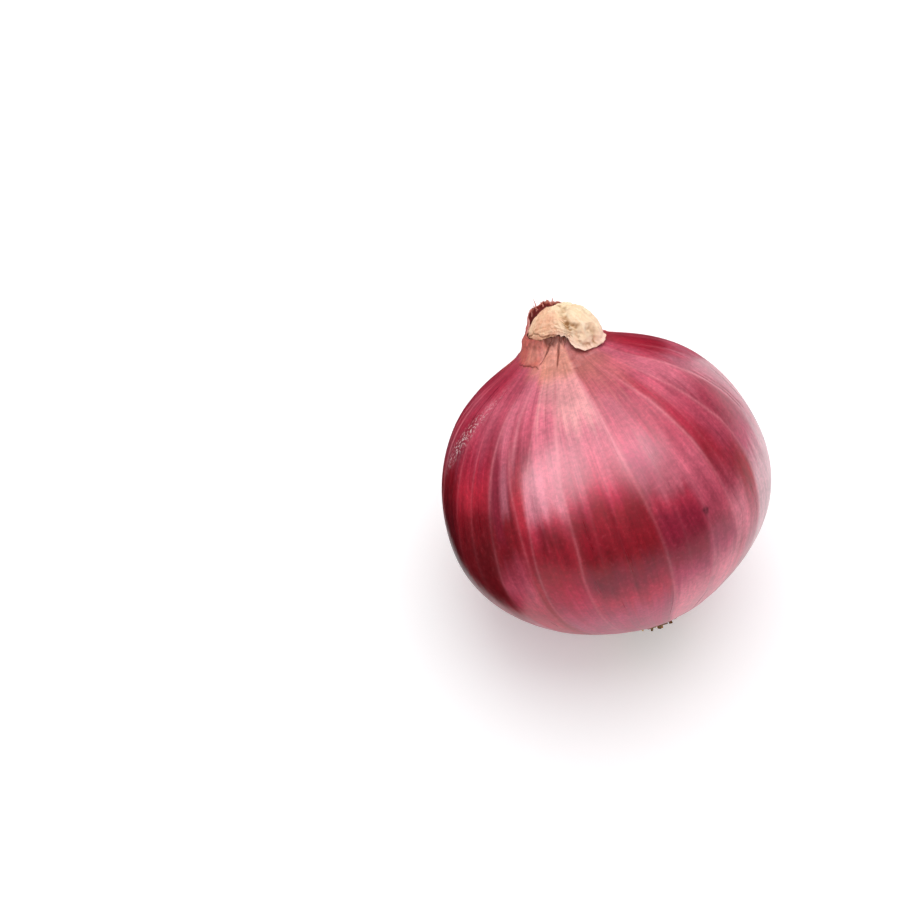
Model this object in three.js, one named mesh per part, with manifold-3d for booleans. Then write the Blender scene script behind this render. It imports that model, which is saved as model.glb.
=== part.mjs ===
// A medium red onion, lying tilted on the small flat spot that its own weight presses into its side.
//
// The bulb grew as one solid. Two organs grow out of it and are pieces of their own: the dried leaf end that
// stands in the torn collar of the neck and folds over it, and the root plate with its stubs of dry roots.
//
// Units are millimetres. In the onion's frame +Z is up, the neck leans towards +Y, and the origin is the
// middle of the flat spot. In the bulb's own frame +Z runs along its axis from roots to neck, and z = 0 is
// near its widest. An angle, in degrees, runs round that axis.

import * as THREE from "three";
import { mergeVertices } from "three/addons/utils/BufferGeometryUtils.js";
import Module from "manifold-3d";

const wasm = await Module();
wasm.setup();

// ---- Driving dimensions ---------------------------------------------------------------------------------

const BODY_RADIUS = 29.5;
const ROOT_END = -22.5; // height of the root end's pole
const CROWN_TOP = 31; // height where the crown would close if it had no neck
const FULLNESS = [-0.03, 0.05, 0.2, -0.04]; // how the outline leaves an ellipse, for four powers of the level
const LOBES = [
  { count: 2, depth: 0.007, phase: 0.6 },
  { count: 3, depth: 0.01, phase: 2.1 },
  { count: 5, depth: 0.003, phase: 1 },
]; // how it leaves a circle, with each depth against its radius

const TILT_DEG = 42.3; // of the bulb's axis from upright
const SPOT_DEPTH = 1.35; // how far the flat spot is pressed in

const NECK_RADIUS = 7.2; // where the crown turns up into the neck
const WALL_RADIUS = 6.55; // half way up the neck
const FLARE_RISE = 2; // how far the skin climbs towards the neck
const FLARE_REACH = 3.2; // how quickly that climb dies away outwards
const COLLAR_RADIUS = 6.2; // of the torn rim
const COLLAR_HEIGHT = 35.2;
const MOUTH_RADIUS = 5.2; // of the round mouth inside the rim
const MOUTH_DEPTH = 3.2;

// The dried leaf end: a dome, a fold beside it and a hollow cut under the dome. Each is an egg, with its
// middle at an angle, a distance from the axis and a height.
const DOME = { across: 6.1, deep: 5.8, tall: 4.6, angle: -20, distance: 0.8, height: 34.8, pleats: 6 };
const FOLD = {
  across: 4.4,
  deep: 2.9,
  tall: 4.6,
  angle: -60,
  distance: 5.8,
  height: 34.7,
  pleats: 4,
  lean: -26,
};
const HOLLOW = { across: 2.6, deep: 3.2, tall: 1.6, angle: -120, distance: 5.6, height: 35.8 };
const PLEAT_DEPTH = 0.05; // against the egg's own size

const PLATE_RADIUS = 6.2; // of the root plate
const PLATE_SINK = 1.3; // how far it is set into the bulb
const PLATE_CREST = 0.8; // how far its middle stands out of its edge
const PLATE_SHIFT = [1.4, -0.7]; // it sits a little off the axis
const ROOT_STUBS = 44;
const STUB_LENGTH = [1.1, 1.9]; // the shortest and the longest in the middle of the plate
const STUB_TAPER = 0.65; // how much shorter the outermost are, against their own length
const STUB_RADIUS = [0.42, 0.62];
const STUB_SPREAD = 40; // how far the outermost stubs lean out, in degrees
const STUB_SCATTER = 8; // how far any stub strays from that

const GAP = 0.3; // between pieces that touch
const CUTTER = 120; // size of a block that is larger than the onion

const ROUND_SEGMENTS = 64;
const OUTLINE_STEPS = 34;
const SMALL_SEGMENTS = 32; // round the root plate and inside the neck

// ---- Helpers --------------------------------------------------------------------------------------------

const radians = THREE.MathUtils.degToRad;

// A repeatable number between two limits for a whole number.
function scatter(n, [low, high]) {
  const value = Math.sin(n * 127.1 + 11.7) * 43758.5453;
  return low + (high - low) * (value - Math.floor(value));
}

// A closed geometry as a solid, for joining and cutting.
function toSolid(geometry) {
  const bare = new THREE.BufferGeometry().setAttribute("position", geometry.getAttribute("position").clone());
  if (geometry.index) bare.setIndex(geometry.index.clone());
  const merged = mergeVertices(bare, 1e-4);
  return new wasm.Manifold(
    new wasm.Mesh({
      numProp: 3,
      vertProperties: merged.getAttribute("position").array,
      triVerts: new Uint32Array(merged.index.array),
    }),
  );
}

// A solid as a geometry that a THREE.Mesh can hold.
function toGeometry(solid) {
  const mesh = solid.getMesh();
  const geometry = new THREE.BufferGeometry();
  geometry.setAttribute("position", new THREE.BufferAttribute(new Float32Array(mesh.vertProperties), 3));
  geometry.setIndex(new THREE.BufferAttribute(new Uint32Array(mesh.triVerts), 1));
  const flat = geometry.toNonIndexed();
  flat.computeVertexNormals();
  return flat;
}

// A turned geometry with its axis on +Z, from [radius, height] pairs.
function turned(outline, segments) {
  const points = outline.map(([radius, height]) => new THREE.Vector2(radius, height));
  return new THREE.LatheGeometry(points, segments).rotateX(Math.PI / 2);
}

// A crumpled egg-shaped solid.
function egg({ across, deep, tall, angle, distance, height, lean = 0, pleats = 0 }) {
  const geometry = new THREE.SphereGeometry(1, 28, 16);
  const position = geometry.getAttribute("position");
  const point = new THREE.Vector3();
  for (let i = 0; i < position.count; i += 1) {
    point.fromBufferAttribute(position, i);
    const turn = Math.atan2(point.z, point.x);
    const broad = Math.sin(pleats * turn + 2 * point.y);
    const fine = 0.5 * Math.sin((pleats + 3) * turn - 3 * point.y + 1);
    point.multiplyScalar(1 + PLEAT_DEPTH * (broad + fine) * (1 - point.y * point.y));
    position.setXYZ(i, point.x, point.y, point.z);
  }
  geometry.rotateX(Math.PI / 2).scale(deep, across, tall).rotateY(radians(lean));
  return toSolid(geometry.translate(distance, 0, height).rotateZ(radians(angle)));
}

// ---- The bulb's outline, against its level: -1 at the root end and +1 at the top of the crown -------------

function bodyRadius(level) {
  const swell = FULLNESS.reduce((sum, weight, i) => sum + weight * level ** (i + 1), 1);
  return BODY_RADIUS * Math.sqrt(1 - level * level) * swell;
}

// The crown's skin also climbs towards the neck.
function bodyHeight(level) {
  const plain = (CROWN_TOP + ROOT_END) / 2 + ((CROWN_TOP - ROOT_END) / 2) * level;
  return level < 0 ? plain : plain + FLARE_RISE * Math.exp((NECK_RADIUS - bodyRadius(level)) / FLARE_REACH);
}

// The level where the outline is a given distance from the axis, towards one end (-1 or +1).
function levelAt(radius, end) {
  let [wide, narrow] = [0.2 * end, end];
  for (let i = 0; i < 40; i += 1) {
    const middle = (wide + narrow) / 2;
    if (bodyRadius(middle) > radius) wide = middle;
    else narrow = middle;
  }
  return wide;
}

const crownHeight = (radius) => bodyHeight(levelAt(radius, 1));

// The bulb isn't quite round: broad, low lobes that fade out towards both ends.
function lobe(angle, level) {
  const waves = LOBES.map(({ count, depth, phase }) => depth * Math.cos(count * angle + phase));
  return 1 + (1 - level * level) * waves.reduce((sum, wave) => sum + wave, 0);
}

// The outer wall of the neck from the crown to the torn rim, grown outwards by a distance.
function neckWall(grow) {
  return [
    [WALL_RADIUS + grow, (crownHeight(NECK_RADIUS) + COLLAR_HEIGHT) / 2],
    [COLLAR_RADIUS + grow, COLLAR_HEIGHT + grow],
  ];
}

// ---- The pieces, in the bulb's own frame ----------------------------------------------------------------

// Moves a solid from its own origin to the root plate's place on the bulb.
function ontoRootEnd(solid) {
  return solid.translate([...PLATE_SHIFT, bodyHeight(levelAt(PLATE_RADIUS, -1))]);
}

// The bulb: one solid, with a shallow seat for the root plate and a round mouth in its neck.
function bulbSolid() {
  const lastTurn = Math.acos(-levelAt(NECK_RADIUS, 1));
  const skin = Array.from({ length: OUTLINE_STEPS + 1 }, (_, i) => {
    const level = -Math.cos((lastTurn * i) / OUTLINE_STEPS);
    return [bodyRadius(level), bodyHeight(level)];
  });
  const mouth = [
    [MOUTH_RADIUS, COLLAR_HEIGHT],
    [MOUTH_RADIUS, COLLAR_HEIGHT - MOUTH_DEPTH],
    [0, COLLAR_HEIGHT - MOUTH_DEPTH],
  ];
  const geometry = turned([...skin, ...neckWall(0), ...mouth], ROUND_SEGMENTS);
  const position = geometry.getAttribute("position");
  for (let i = 0; i < position.count; i += 1) {
    const [x, y, z] = [position.getX(i), position.getY(i), position.getZ(i)];
    const level = THREE.MathUtils.mapLinear(z, ROOT_END, CROWN_TOP, -1, 1);
    const swell = lobe(Math.atan2(y, x), Math.min(1, level));
    position.setXY(i, x * swell, y * swell);
  }
  const seatRadius = PLATE_RADIUS + GAP;
  const seat = new THREE.CylinderGeometry(seatRadius, seatRadius, PLATE_RADIUS, SMALL_SEGMENTS)
    .rotateX(Math.PI / 2)
    .translate(0, 0, PLATE_SINK - PLATE_RADIUS / 2);
  return toSolid(geometry).subtract(ontoRootEnd(toSolid(seat)));
}

// What the bulb's neck fills, grown by the gap, down to a level that no other piece reaches.
function neckKeepOut() {
  const [reach, base] = [NECK_RADIUS + 4, CROWN_TOP - 10];
  const [mouthWall, mouthFloor] = [MOUTH_RADIUS - GAP, COLLAR_HEIGHT - MOUTH_DEPTH + GAP];
  const slope = [reach, NECK_RADIUS + 2, NECK_RADIUS + 1, NECK_RADIUS].map((radius) => [
    radius + GAP,
    crownHeight(radius) + GAP,
  ]);
  const outline = [
    [0, base],
    [reach + GAP, base],
    ...slope,
    ...neckWall(GAP),
    [mouthWall, COLLAR_HEIGHT + GAP],
    [mouthWall, mouthFloor],
    [0, mouthFloor],
  ];
  return toSolid(turned(outline, SMALL_SEGMENTS));
}

// The dried leaf end: it fills the neck's mouth, closes over the rim in a dome, and folds down outside the
// rim. A hollow opens under the dome beside that fold.
function driedLeafSolid() {
  return egg(DOME).add(egg(FOLD)).subtract(egg(HOLLOW)).subtract(neckKeepOut());
}

// The root plate: a low dome set into the root end, with the stubs of its dry roots.
function rootPlateSolid() {
  const plate = [
    [0, -PLATE_CREST],
    [PLATE_RADIUS * 0.6, -0.75 * PLATE_CREST],
    [PLATE_RADIUS, 0],
    [PLATE_RADIUS, PLATE_SINK - GAP],
    [0, PLATE_SINK - GAP],
  ];
  let solid = toSolid(turned(plate, SMALL_SEGMENTS));
  const goldenAngle = 137.508;
  for (let i = 0; i < ROOT_STUBS; i += 1) {
    const distance = (PLATE_RADIUS - 1.4 * STUB_RADIUS[1]) * Math.sqrt((i + 0.5) / ROOT_STUBS);
    const long = scatter(i, STUB_LENGTH) * (1 - STUB_TAPER * (distance / PLATE_RADIUS) ** 2);
    const thick = scatter(i + 100, STUB_RADIUS);
    const spread = STUB_SPREAD * (distance / PLATE_RADIUS) + scatter(i + 200, [-STUB_SCATTER, STUB_SCATTER]);
    const stub = new THREE.CylinderGeometry(thick * 1.15, thick * 0.8, long + PLATE_CREST, 6)
      .translate(0, -long / 2, 0)
      .rotateX(Math.PI / 2)
      .rotateY(radians(-spread))
      .translate(distance, 0, -0.5 * PLATE_CREST)
      .rotateZ(radians(i * goldenAngle));
    solid = solid.add(toSolid(stub));
  }
  return ontoRootEnd(solid);
}

// ---- Putting the onion down -----------------------------------------------------------------------------

// Where the bulb's own origin comes to lie, so that the middle of the flat spot is at the onion's origin.
function restingPlace(solid) {
  const turn = new THREE.Matrix4().makeRotationX(-radians(TILT_DEG));
  const mesh = solid.getMesh();
  const points = Array.from({ length: mesh.numVert }, (_, i) =>
    new THREE.Vector3().fromArray(mesh.vertProperties, 3 * i).applyMatrix4(turn),
  );
  const pressed = Math.min(...points.map((point) => point.z)) + SPOT_DEPTH;
  const spot = new THREE.Box3().setFromPoints(points.filter((point) => point.z < pressed));
  const middle = spot.getCenter(new THREE.Vector3());
  return new THREE.Vector3(-middle.x, -middle.y, -pressed);
}

// Cuts off what lies below the surface that the onion rests on.
function pressFlat(solid, group) {
  group.updateMatrixWorld(true);
  const floor = new THREE.BoxGeometry(CUTTER, CUTTER, CUTTER).translate(0, 0, -CUTTER / 2);
  return solid.subtract(toSolid(floor.applyMatrix4(group.matrixWorld.clone().invert())));
}

function piece(name, solid, color, roughness) {
  const material = new THREE.MeshStandardMaterial({ color, roughness, metalness: 0 });
  const mesh = new THREE.Mesh(toGeometry(solid), material);
  mesh.name = name;
  return mesh;
}

const onion = new THREE.Group();
const roundBulb = bulbSolid();
onion.rotation.x = -radians(TILT_DEG);
onion.position.copy(restingPlace(roundBulb));

onion.add(piece("bulb", pressFlat(roundBulb, onion), 0xa5233f, 0.42));
onion.add(piece("dried_leaf_end", driedLeafSolid(), 0xe8c3a0, 0.85));
onion.add(piece("root_plate", rootPlateSolid(), 0xc9a36b, 0.9));

const part = new THREE.Group();
part.add(onion);

export default part;
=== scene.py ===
"""A red onion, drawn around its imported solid.

The bulb's skin, the torn collar of its neck, the dried leaf end in it and the root plate with its dry
roots are built from one outline, which is the solid's own. Sizes are in millimetres until a mesh is made.

In the bulb's own frame +Z runs along its axis from roots to neck. Angles run round that axis, in degrees.
A level runs from -1 at the root end to +1 at the top of the crown.
"""

import logging
import math
from collections.abc import Callable
from dataclasses import dataclass
from enum import Enum

import bpy
import numpy as np
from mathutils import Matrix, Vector


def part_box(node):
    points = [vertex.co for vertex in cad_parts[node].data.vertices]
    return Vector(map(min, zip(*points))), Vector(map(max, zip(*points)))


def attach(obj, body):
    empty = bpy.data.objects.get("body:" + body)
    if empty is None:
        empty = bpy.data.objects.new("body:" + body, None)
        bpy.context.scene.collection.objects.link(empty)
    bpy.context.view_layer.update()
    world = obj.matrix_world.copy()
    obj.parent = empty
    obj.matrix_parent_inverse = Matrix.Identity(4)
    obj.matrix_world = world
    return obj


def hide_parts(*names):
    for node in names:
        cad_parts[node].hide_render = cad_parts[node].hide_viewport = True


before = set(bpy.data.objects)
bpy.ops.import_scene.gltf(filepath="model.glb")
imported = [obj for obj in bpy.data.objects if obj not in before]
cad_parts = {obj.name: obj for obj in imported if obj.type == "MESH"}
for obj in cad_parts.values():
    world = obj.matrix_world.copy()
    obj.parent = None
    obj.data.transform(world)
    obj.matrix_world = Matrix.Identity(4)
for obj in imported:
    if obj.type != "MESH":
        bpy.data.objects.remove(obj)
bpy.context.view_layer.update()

LOG = logging.getLogger("onion")
MM = 0.001
RIM_ROW = 0.5  # where ripples that run along an edge are read

Array = np.ndarray
Rgb = tuple[float, float, float]
Line = tuple[tuple[float, float], ...]
Socket = bpy.types.NodeSocket


class Slot(Enum):
    """The record's material slots."""

    SKIN = "onion_skin"
    LEAF = "dried_leaf"
    ROOTS = "dry_roots"


class Node(Enum):
    """The solid's nodes that the drawn pieces stand for."""

    BULB = "bulb"
    LEAF = "dried_leaf_end"
    ROOTS = "root_plate"


class End(Enum):
    """The two ends of the bulb."""

    ROOT = -1
    CROWN = 1


# ---- Small sums --------------------------------------------------------------------------------------


def ease(x: Array, low: float, high: float) -> Array:
    """Rises smoothly from 0 at low to 1 at high, or falls if high is the smaller.

    Args:
        x: Where to read the rise.
        low: Where it is 0.
        high: Where it is 1.

    Returns:
        Values from 0 to 1, in the shape of x.
    """
    t = np.clip((x - low) / (high - low), 0.0, 1.0)
    return t * t * (3.0 - 2.0 * t)


def hill(x: Array, width: float) -> Array:
    """A smooth hill of height 1 over zero, which falls to about a third at its width."""
    return np.exp(-((x / width) ** 2))


def apart(angle: Array, middle: float | Array) -> Array:
    """The signed way round from middle to angle, in degrees, from -180 to 180."""
    return (angle - middle + 180.0) % 360.0 - 180.0


def ring_angles(columns: int) -> Array:
    """Evenly spaced angles round the ring, from -180 degrees."""
    return np.arange(columns) * (360.0 / columns) - 180.0


def circle(angle: Array) -> tuple[Array, Array]:
    """The cosine and sine of angles in degrees."""
    return np.cos(np.radians(angle)), np.sin(np.radians(angle))


def colour(red: int, green: int, blue: int) -> Rgb:
    """A screen colour, each part from 0 to 255, as the linear colour that a shader takes.

    Args:
        red: Red part.
        green: Green part.
        blue: Blue part.

    Returns:
        The linear colour.
    """
    parts = (red / 255.0, green / 255.0, blue / 255.0)
    return tuple(p / 12.92 if p <= 0.04045 else ((p + 0.055) / 1.055) ** 2.4 for p in parts)


def round_the_ring(angle: Array, knots: Line, blur: float = 7.0) -> Array:
    """Runs smoothly through values that are given at a few angles of a ring.

    Args:
        angle: Where to read.
        knots: Pairs of an angle and its value.
        blur: How far the corners are rounded, in degrees.

    Returns:
        The values, in the shape of angle.
    """
    at, value = zip(*knots)
    offsets = np.linspace(-blur, blur, 9)
    return np.mean([np.interp(angle + offset, at, value, period=360.0) for offset in offsets], axis=0)


def line_distance(u: Array, v: Array, line: Line) -> Array:
    """Distance from a line of straight stretches.

    Args:
        u: First coordinates.
        v: Second coordinates.
        line: The line's corners.

    Returns:
        The distance, in the same unit.
    """
    nearest = np.full(np.shape(u), np.inf)
    for (u0, v0), (u1, v1) in zip(line, line[1:]):
        du, dv = u1 - u0, v1 - v0
        share = np.clip(((u - u0) * du + (v - v0) * dv) / (du * du + dv * dv), 0.0, 1.0)
        nearest = np.minimum(nearest, np.hypot(u - u0 - share * du, v - v0 - share * dv))
    return nearest


class Noise:
    """Smooth, repeatable noise from -1 to 1 on a plane, or round a ring that it joins up."""

    def __init__(self, seed: int, across: int = 97) -> None:
        """Draws the grid of values.

        Args:
            seed: Which noise this is.
            across: Cells before it repeats in its first direction, which is once round a ring.
        """
        self.across = across
        self.along = 97
        self.grid = np.random.default_rng(seed).uniform(-1.0, 1.0, (self.across, self.along))

    def plane(self, u: Array, v: Array) -> Array:
        """Reads the noise at places counted in cells.

        Args:
            u: First coordinates.
            v: Second coordinates.

        Returns:
            The noise at each place.
        """
        u0, v0 = np.floor(u).astype(int), np.floor(v).astype(int)
        fu, fv = ease(u - u0, 0.0, 1.0), ease(v - v0, 0.0, 1.0)
        u0, v0 = u0 % self.across, v0 % self.along
        u1, v1 = (u0 + 1) % self.across, (v0 + 1) % self.along
        low = self.grid[u0, v0] * (1 - fu) + self.grid[u1, v0] * fu
        high = self.grid[u0, v1] * (1 - fu) + self.grid[u1, v1] * fu
        return low * (1 - fv) + high * fv

    def ring(self, angle: Array, length: Array) -> Array:
        """Reads the noise at angles round the ring and lengths along it, counted in cells."""
        return self.plane(angle / 360.0 * self.across, length + 0.0 * angle)


@dataclass(frozen=True)
class Ripple:
    """A layer of noise round the ring.

    It has a seed, a number of cells once round, a strength, and a number of cells for each unit along.
    """

    seed: int
    cells: int
    strength: float
    along: float = 1.0

    def at(self, angle: Array, length: Array | float) -> Array:
        """The layer's height at angles round the ring and lengths along it."""
        return self.strength * Noise(self.seed, self.cells).ring(angle, length * self.along)


def ripples(layers: tuple[Ripple, ...], angle: Array, length: Array | float) -> Array:
    """Several layers of noise, added up.

    Args:
        layers: The layers.
        angle: The angle at each point.
        length: How far along it is.

    Returns:
        Their height together.
    """
    return sum(layer.at(angle, length) for layer in layers)


# ---- The outline that every piece is built on --------------------------------------------------------


@dataclass(frozen=True)
class BulbForm:
    """The bulb's outline, in millimetres, and how the onion lies. All but the last two are the solid's."""

    radius: float = 29.5
    root_end: float = -22.5
    crown_top: float = 31.0
    fullness: tuple[float, ...] = (-0.03, 0.05, 0.2, -0.04)
    lobes: tuple[tuple[int, float, float], ...] = ((2, 0.007, 0.6), (3, 0.01, 2.1), (5, 0.003, 1.0))
    tilt_deg: float = 42.3
    neck_radius: float = 7.2
    flare_rise: float = 2.0
    flare_reach: float = 3.2
    collar_radius: float = 6.2
    collar_height: float = 35.2
    plate_radius: float = 6.2
    plate_shift: tuple[float, float] = (1.4, -0.7)
    shoulder_radius: float = 22.0
    far_down: float = 99.0

    def body_radius(self, level: Array) -> Array:
        """Distance of the skin from the axis at each level."""
        swell = 1.0 + sum(weight * level ** (i + 1) for i, weight in enumerate(self.fullness))
        return self.radius * np.sqrt(np.clip(1.0 - level**2, 0.0, 1.0)) * swell

    def body_height(self, level: Array) -> Array:
        """Height of the skin, with the crown's climb towards the neck.

        Args:
            level: The level at each point.

        Returns:
            The height.
        """
        middle, half = (self.crown_top + self.root_end) / 2, (self.crown_top - self.root_end) / 2
        climb = self.flare_rise * np.exp((self.neck_radius - self.body_radius(level)) / self.flare_reach)
        return middle + half * level + np.where(level < 0, 0.0, climb)

    def level_at(self, radius: float, end: End) -> float:
        """The level where the skin is a distance from the axis.

        Args:
            radius: The distance, in millimetres.
            end: Towards which end.

        Returns:
            The level.
        """
        levels = np.linspace(0.2, 1.0, 4001) * end.value
        return float(levels[np.argmin(np.abs(self.body_radius(levels) - radius))])

    def level_of(self, height: Array) -> Array:
        """The level of a height, as the solid counts it."""
        return (height - (self.crown_top + self.root_end) / 2) * 2 / (self.crown_top - self.root_end)

    def lobe(self, angle: Array, level: Array) -> Array:
        """How far the skin swells out of round, as a factor."""
        ripple = sum(depth * np.cos(count * np.radians(angle) + phase) for count, depth, phase in self.lobes)
        return 1.0 + (1.0 - np.clip(level, -1.0, 1.0) ** 2) * ripple

    def neck_path(self) -> tuple[Array, Array]:
        """The outline from the crown's shoulder up the neck and on past its rim.

        Returns:
            A radius and a height for each row, and how far up the skin from the rim that row is.
        """
        shoulder = self.level_at(self.shoulder_radius, End.CROWN)
        level = np.linspace(shoulder, self.level_at(self.neck_radius, End.CROWN), 90)
        crown = np.stack([self.body_radius(level), self.body_height(level)], -1)
        climb = np.linspace(0.0, 1.0, 40)[1:]
        foot, drawn_in = crown[-1, 1], self.neck_radius - self.collar_radius
        wall_height = foot + (self.collar_height - foot) * climb**1.15
        wall = np.stack([self.collar_radius + drawn_in * (1.0 - climb) ** 2, wall_height], -1)
        above = np.linspace(0.0, 6.0, 40)[1:]
        drawn_over = 0.8 * above**2 / (above + 0.6)
        fringe = np.stack([self.collar_radius - drawn_over, self.collar_height + above], -1)
        path = np.concatenate([crown, wall, fringe])
        run = np.concatenate([[0.0], np.cumsum(np.hypot(*np.diff(path, axis=0).T))])
        return path, run - np.interp(self.collar_height, path[:, 1], run)

    def below_rim(self, radius: Array, height: Array) -> Array:
        """How far down the skin from the neck's rim a point is.

        Args:
            radius: The point's distance from the axis.
            height: Its height.

        Returns:
            The distance in millimetres, and far_down anywhere past the crown's shoulder.
        """
        path, run = self.neck_path()
        crown = path[:, 0] >= self.neck_radius
        down = -np.interp(-radius, -path[crown, 0], run[crown])
        on_crown = (height > self.crown_top * 0.5) & (radius < self.shoulder_radius)
        return np.where(on_crown, down, self.far_down)

    def local(self, angle: Array, radius: Array, height: Array) -> Array:
        """Points in the bulb's own frame, from an angle, a distance from the axis and a height."""
        across, deep = circle(angle)
        return np.stack([radius * across, radius * deep, height + 0.0 * across], -1)

    def lean(self, points: Array) -> Array:
        """Turns points from the bulb's upright frame to the way it lies, still about its own origin.

        Args:
            points: Points in the bulb's own frame.

        Returns:
            The same points, laid down.
        """
        t = math.radians(self.tilt_deg)
        x, y, z = points[..., 0], points[..., 1], points[..., 2]
        return np.stack([x, y * math.cos(t) + z * math.sin(t), z * math.cos(t) - y * math.sin(t)], -1)


@dataclass
class Ground:
    """Turns the bulb's own frame into the row frame, in metres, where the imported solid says."""

    form: BulbForm

    def __post_init__(self) -> None:
        """Finds where the bulb's origin is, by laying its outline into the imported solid's box."""
        form = self.form
        angle, level = np.meshgrid(np.linspace(0, 360, 720), np.linspace(-1, 0.97, 300))
        radius = form.body_radius(level) * form.lobe(angle, level)
        body = form.lean(form.local(angle, radius, form.body_height(level))).reshape(-1, 3)
        low, high = body.min(0), body.max(0)
        box_low, box_high = (np.array(corner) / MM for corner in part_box(Node.BULB.value))
        middle = (box_low[0] + box_high[0] - low[0] - high[0]) / 2
        self.origin = np.array([middle, box_low[1] - low[1], box_high[2] - high[2]])

    def put(self, points: Array) -> Array:
        """Points from the bulb's own frame, in millimetres, in the row frame, in metres."""
        return (self.form.lean(points) + self.origin) * MM


# ---- Meshes ------------------------------------------------------------------------------------------


def grid_faces(rows: int, columns: int, first: int = 0) -> Array:
    """The four-sided faces of a grid of points whose last column joins its first.

    Args:
        rows: Rows of points.
        columns: Points in a row.
        first: Number of the grid's first point.

    Returns:
        One face to a line, wound so that rising rows face out.
    """
    row, column = np.meshgrid(np.arange(rows - 1), np.arange(columns), indexing="ij")
    after = (column + 1) % columns
    a, b = row * columns + column, row * columns + after
    return np.stack([a, b, b + columns, a + columns], -1).reshape(-1, 4) + first


def grid_normals(points: Array) -> Array:
    """The outward direction at each point of a grid whose last column joins its first.

    Args:
        points: The grid of points.

    Returns:
        A unit vector for each.
    """
    around = np.roll(points, -1, 1) - np.roll(points, 1, 1)
    along = np.gradient(points, axis=0)
    out = np.cross(around, along)
    return out / (np.linalg.norm(out, axis=-1, keepdims=True) + 1e-12)


def make_mesh(
    name: str, points: Array, faces: Array, values: dict[str, Array] | None = None
) -> bpy.types.Object:
    """Makes a smooth-shaded mesh object.

    Args:
        name: The piece's name.
        points: Its points, in the row frame, in metres.
        faces: Its faces, as point numbers.
        values: A number, or three, for each point, under the name that the finish reads.

    Returns:
        The object, in the scene.
    """
    flat = points.reshape(-1, 3)
    mesh = bpy.data.meshes.new(name)
    mesh.from_pydata(flat.tolist(), [], faces.tolist())
    for key, value in (values or {}).items():
        is_vector = value.size == flat.size
        layer = mesh.attributes.new(key, "FLOAT_VECTOR" if is_vector else "FLOAT", "POINT")
        layer.data.foreach_set("vector" if is_vector else "value", value.astype(np.float32).ravel())
    mesh.polygons.foreach_set("use_smooth", [True] * len(mesh.polygons))
    mesh.update()
    piece = bpy.data.objects.new(name, mesh)
    bpy.context.scene.collection.objects.link(piece)
    return piece


def dress(piece: bpy.types.Object, node: Node, material: bpy.types.Material) -> bpy.types.Object:
    """Gives a piece its finish and ties it to the solid that it stands for.

    Args:
        piece: The drawn piece.
        node: The solid's node.
        material: The piece's finish.

    Returns:
        The same piece.
    """
    piece.data.materials.append(material)
    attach(piece, "root")
    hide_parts(node.value)
    return piece


# ---- Finishes ----------------------------------------------------------------------------------------


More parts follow.
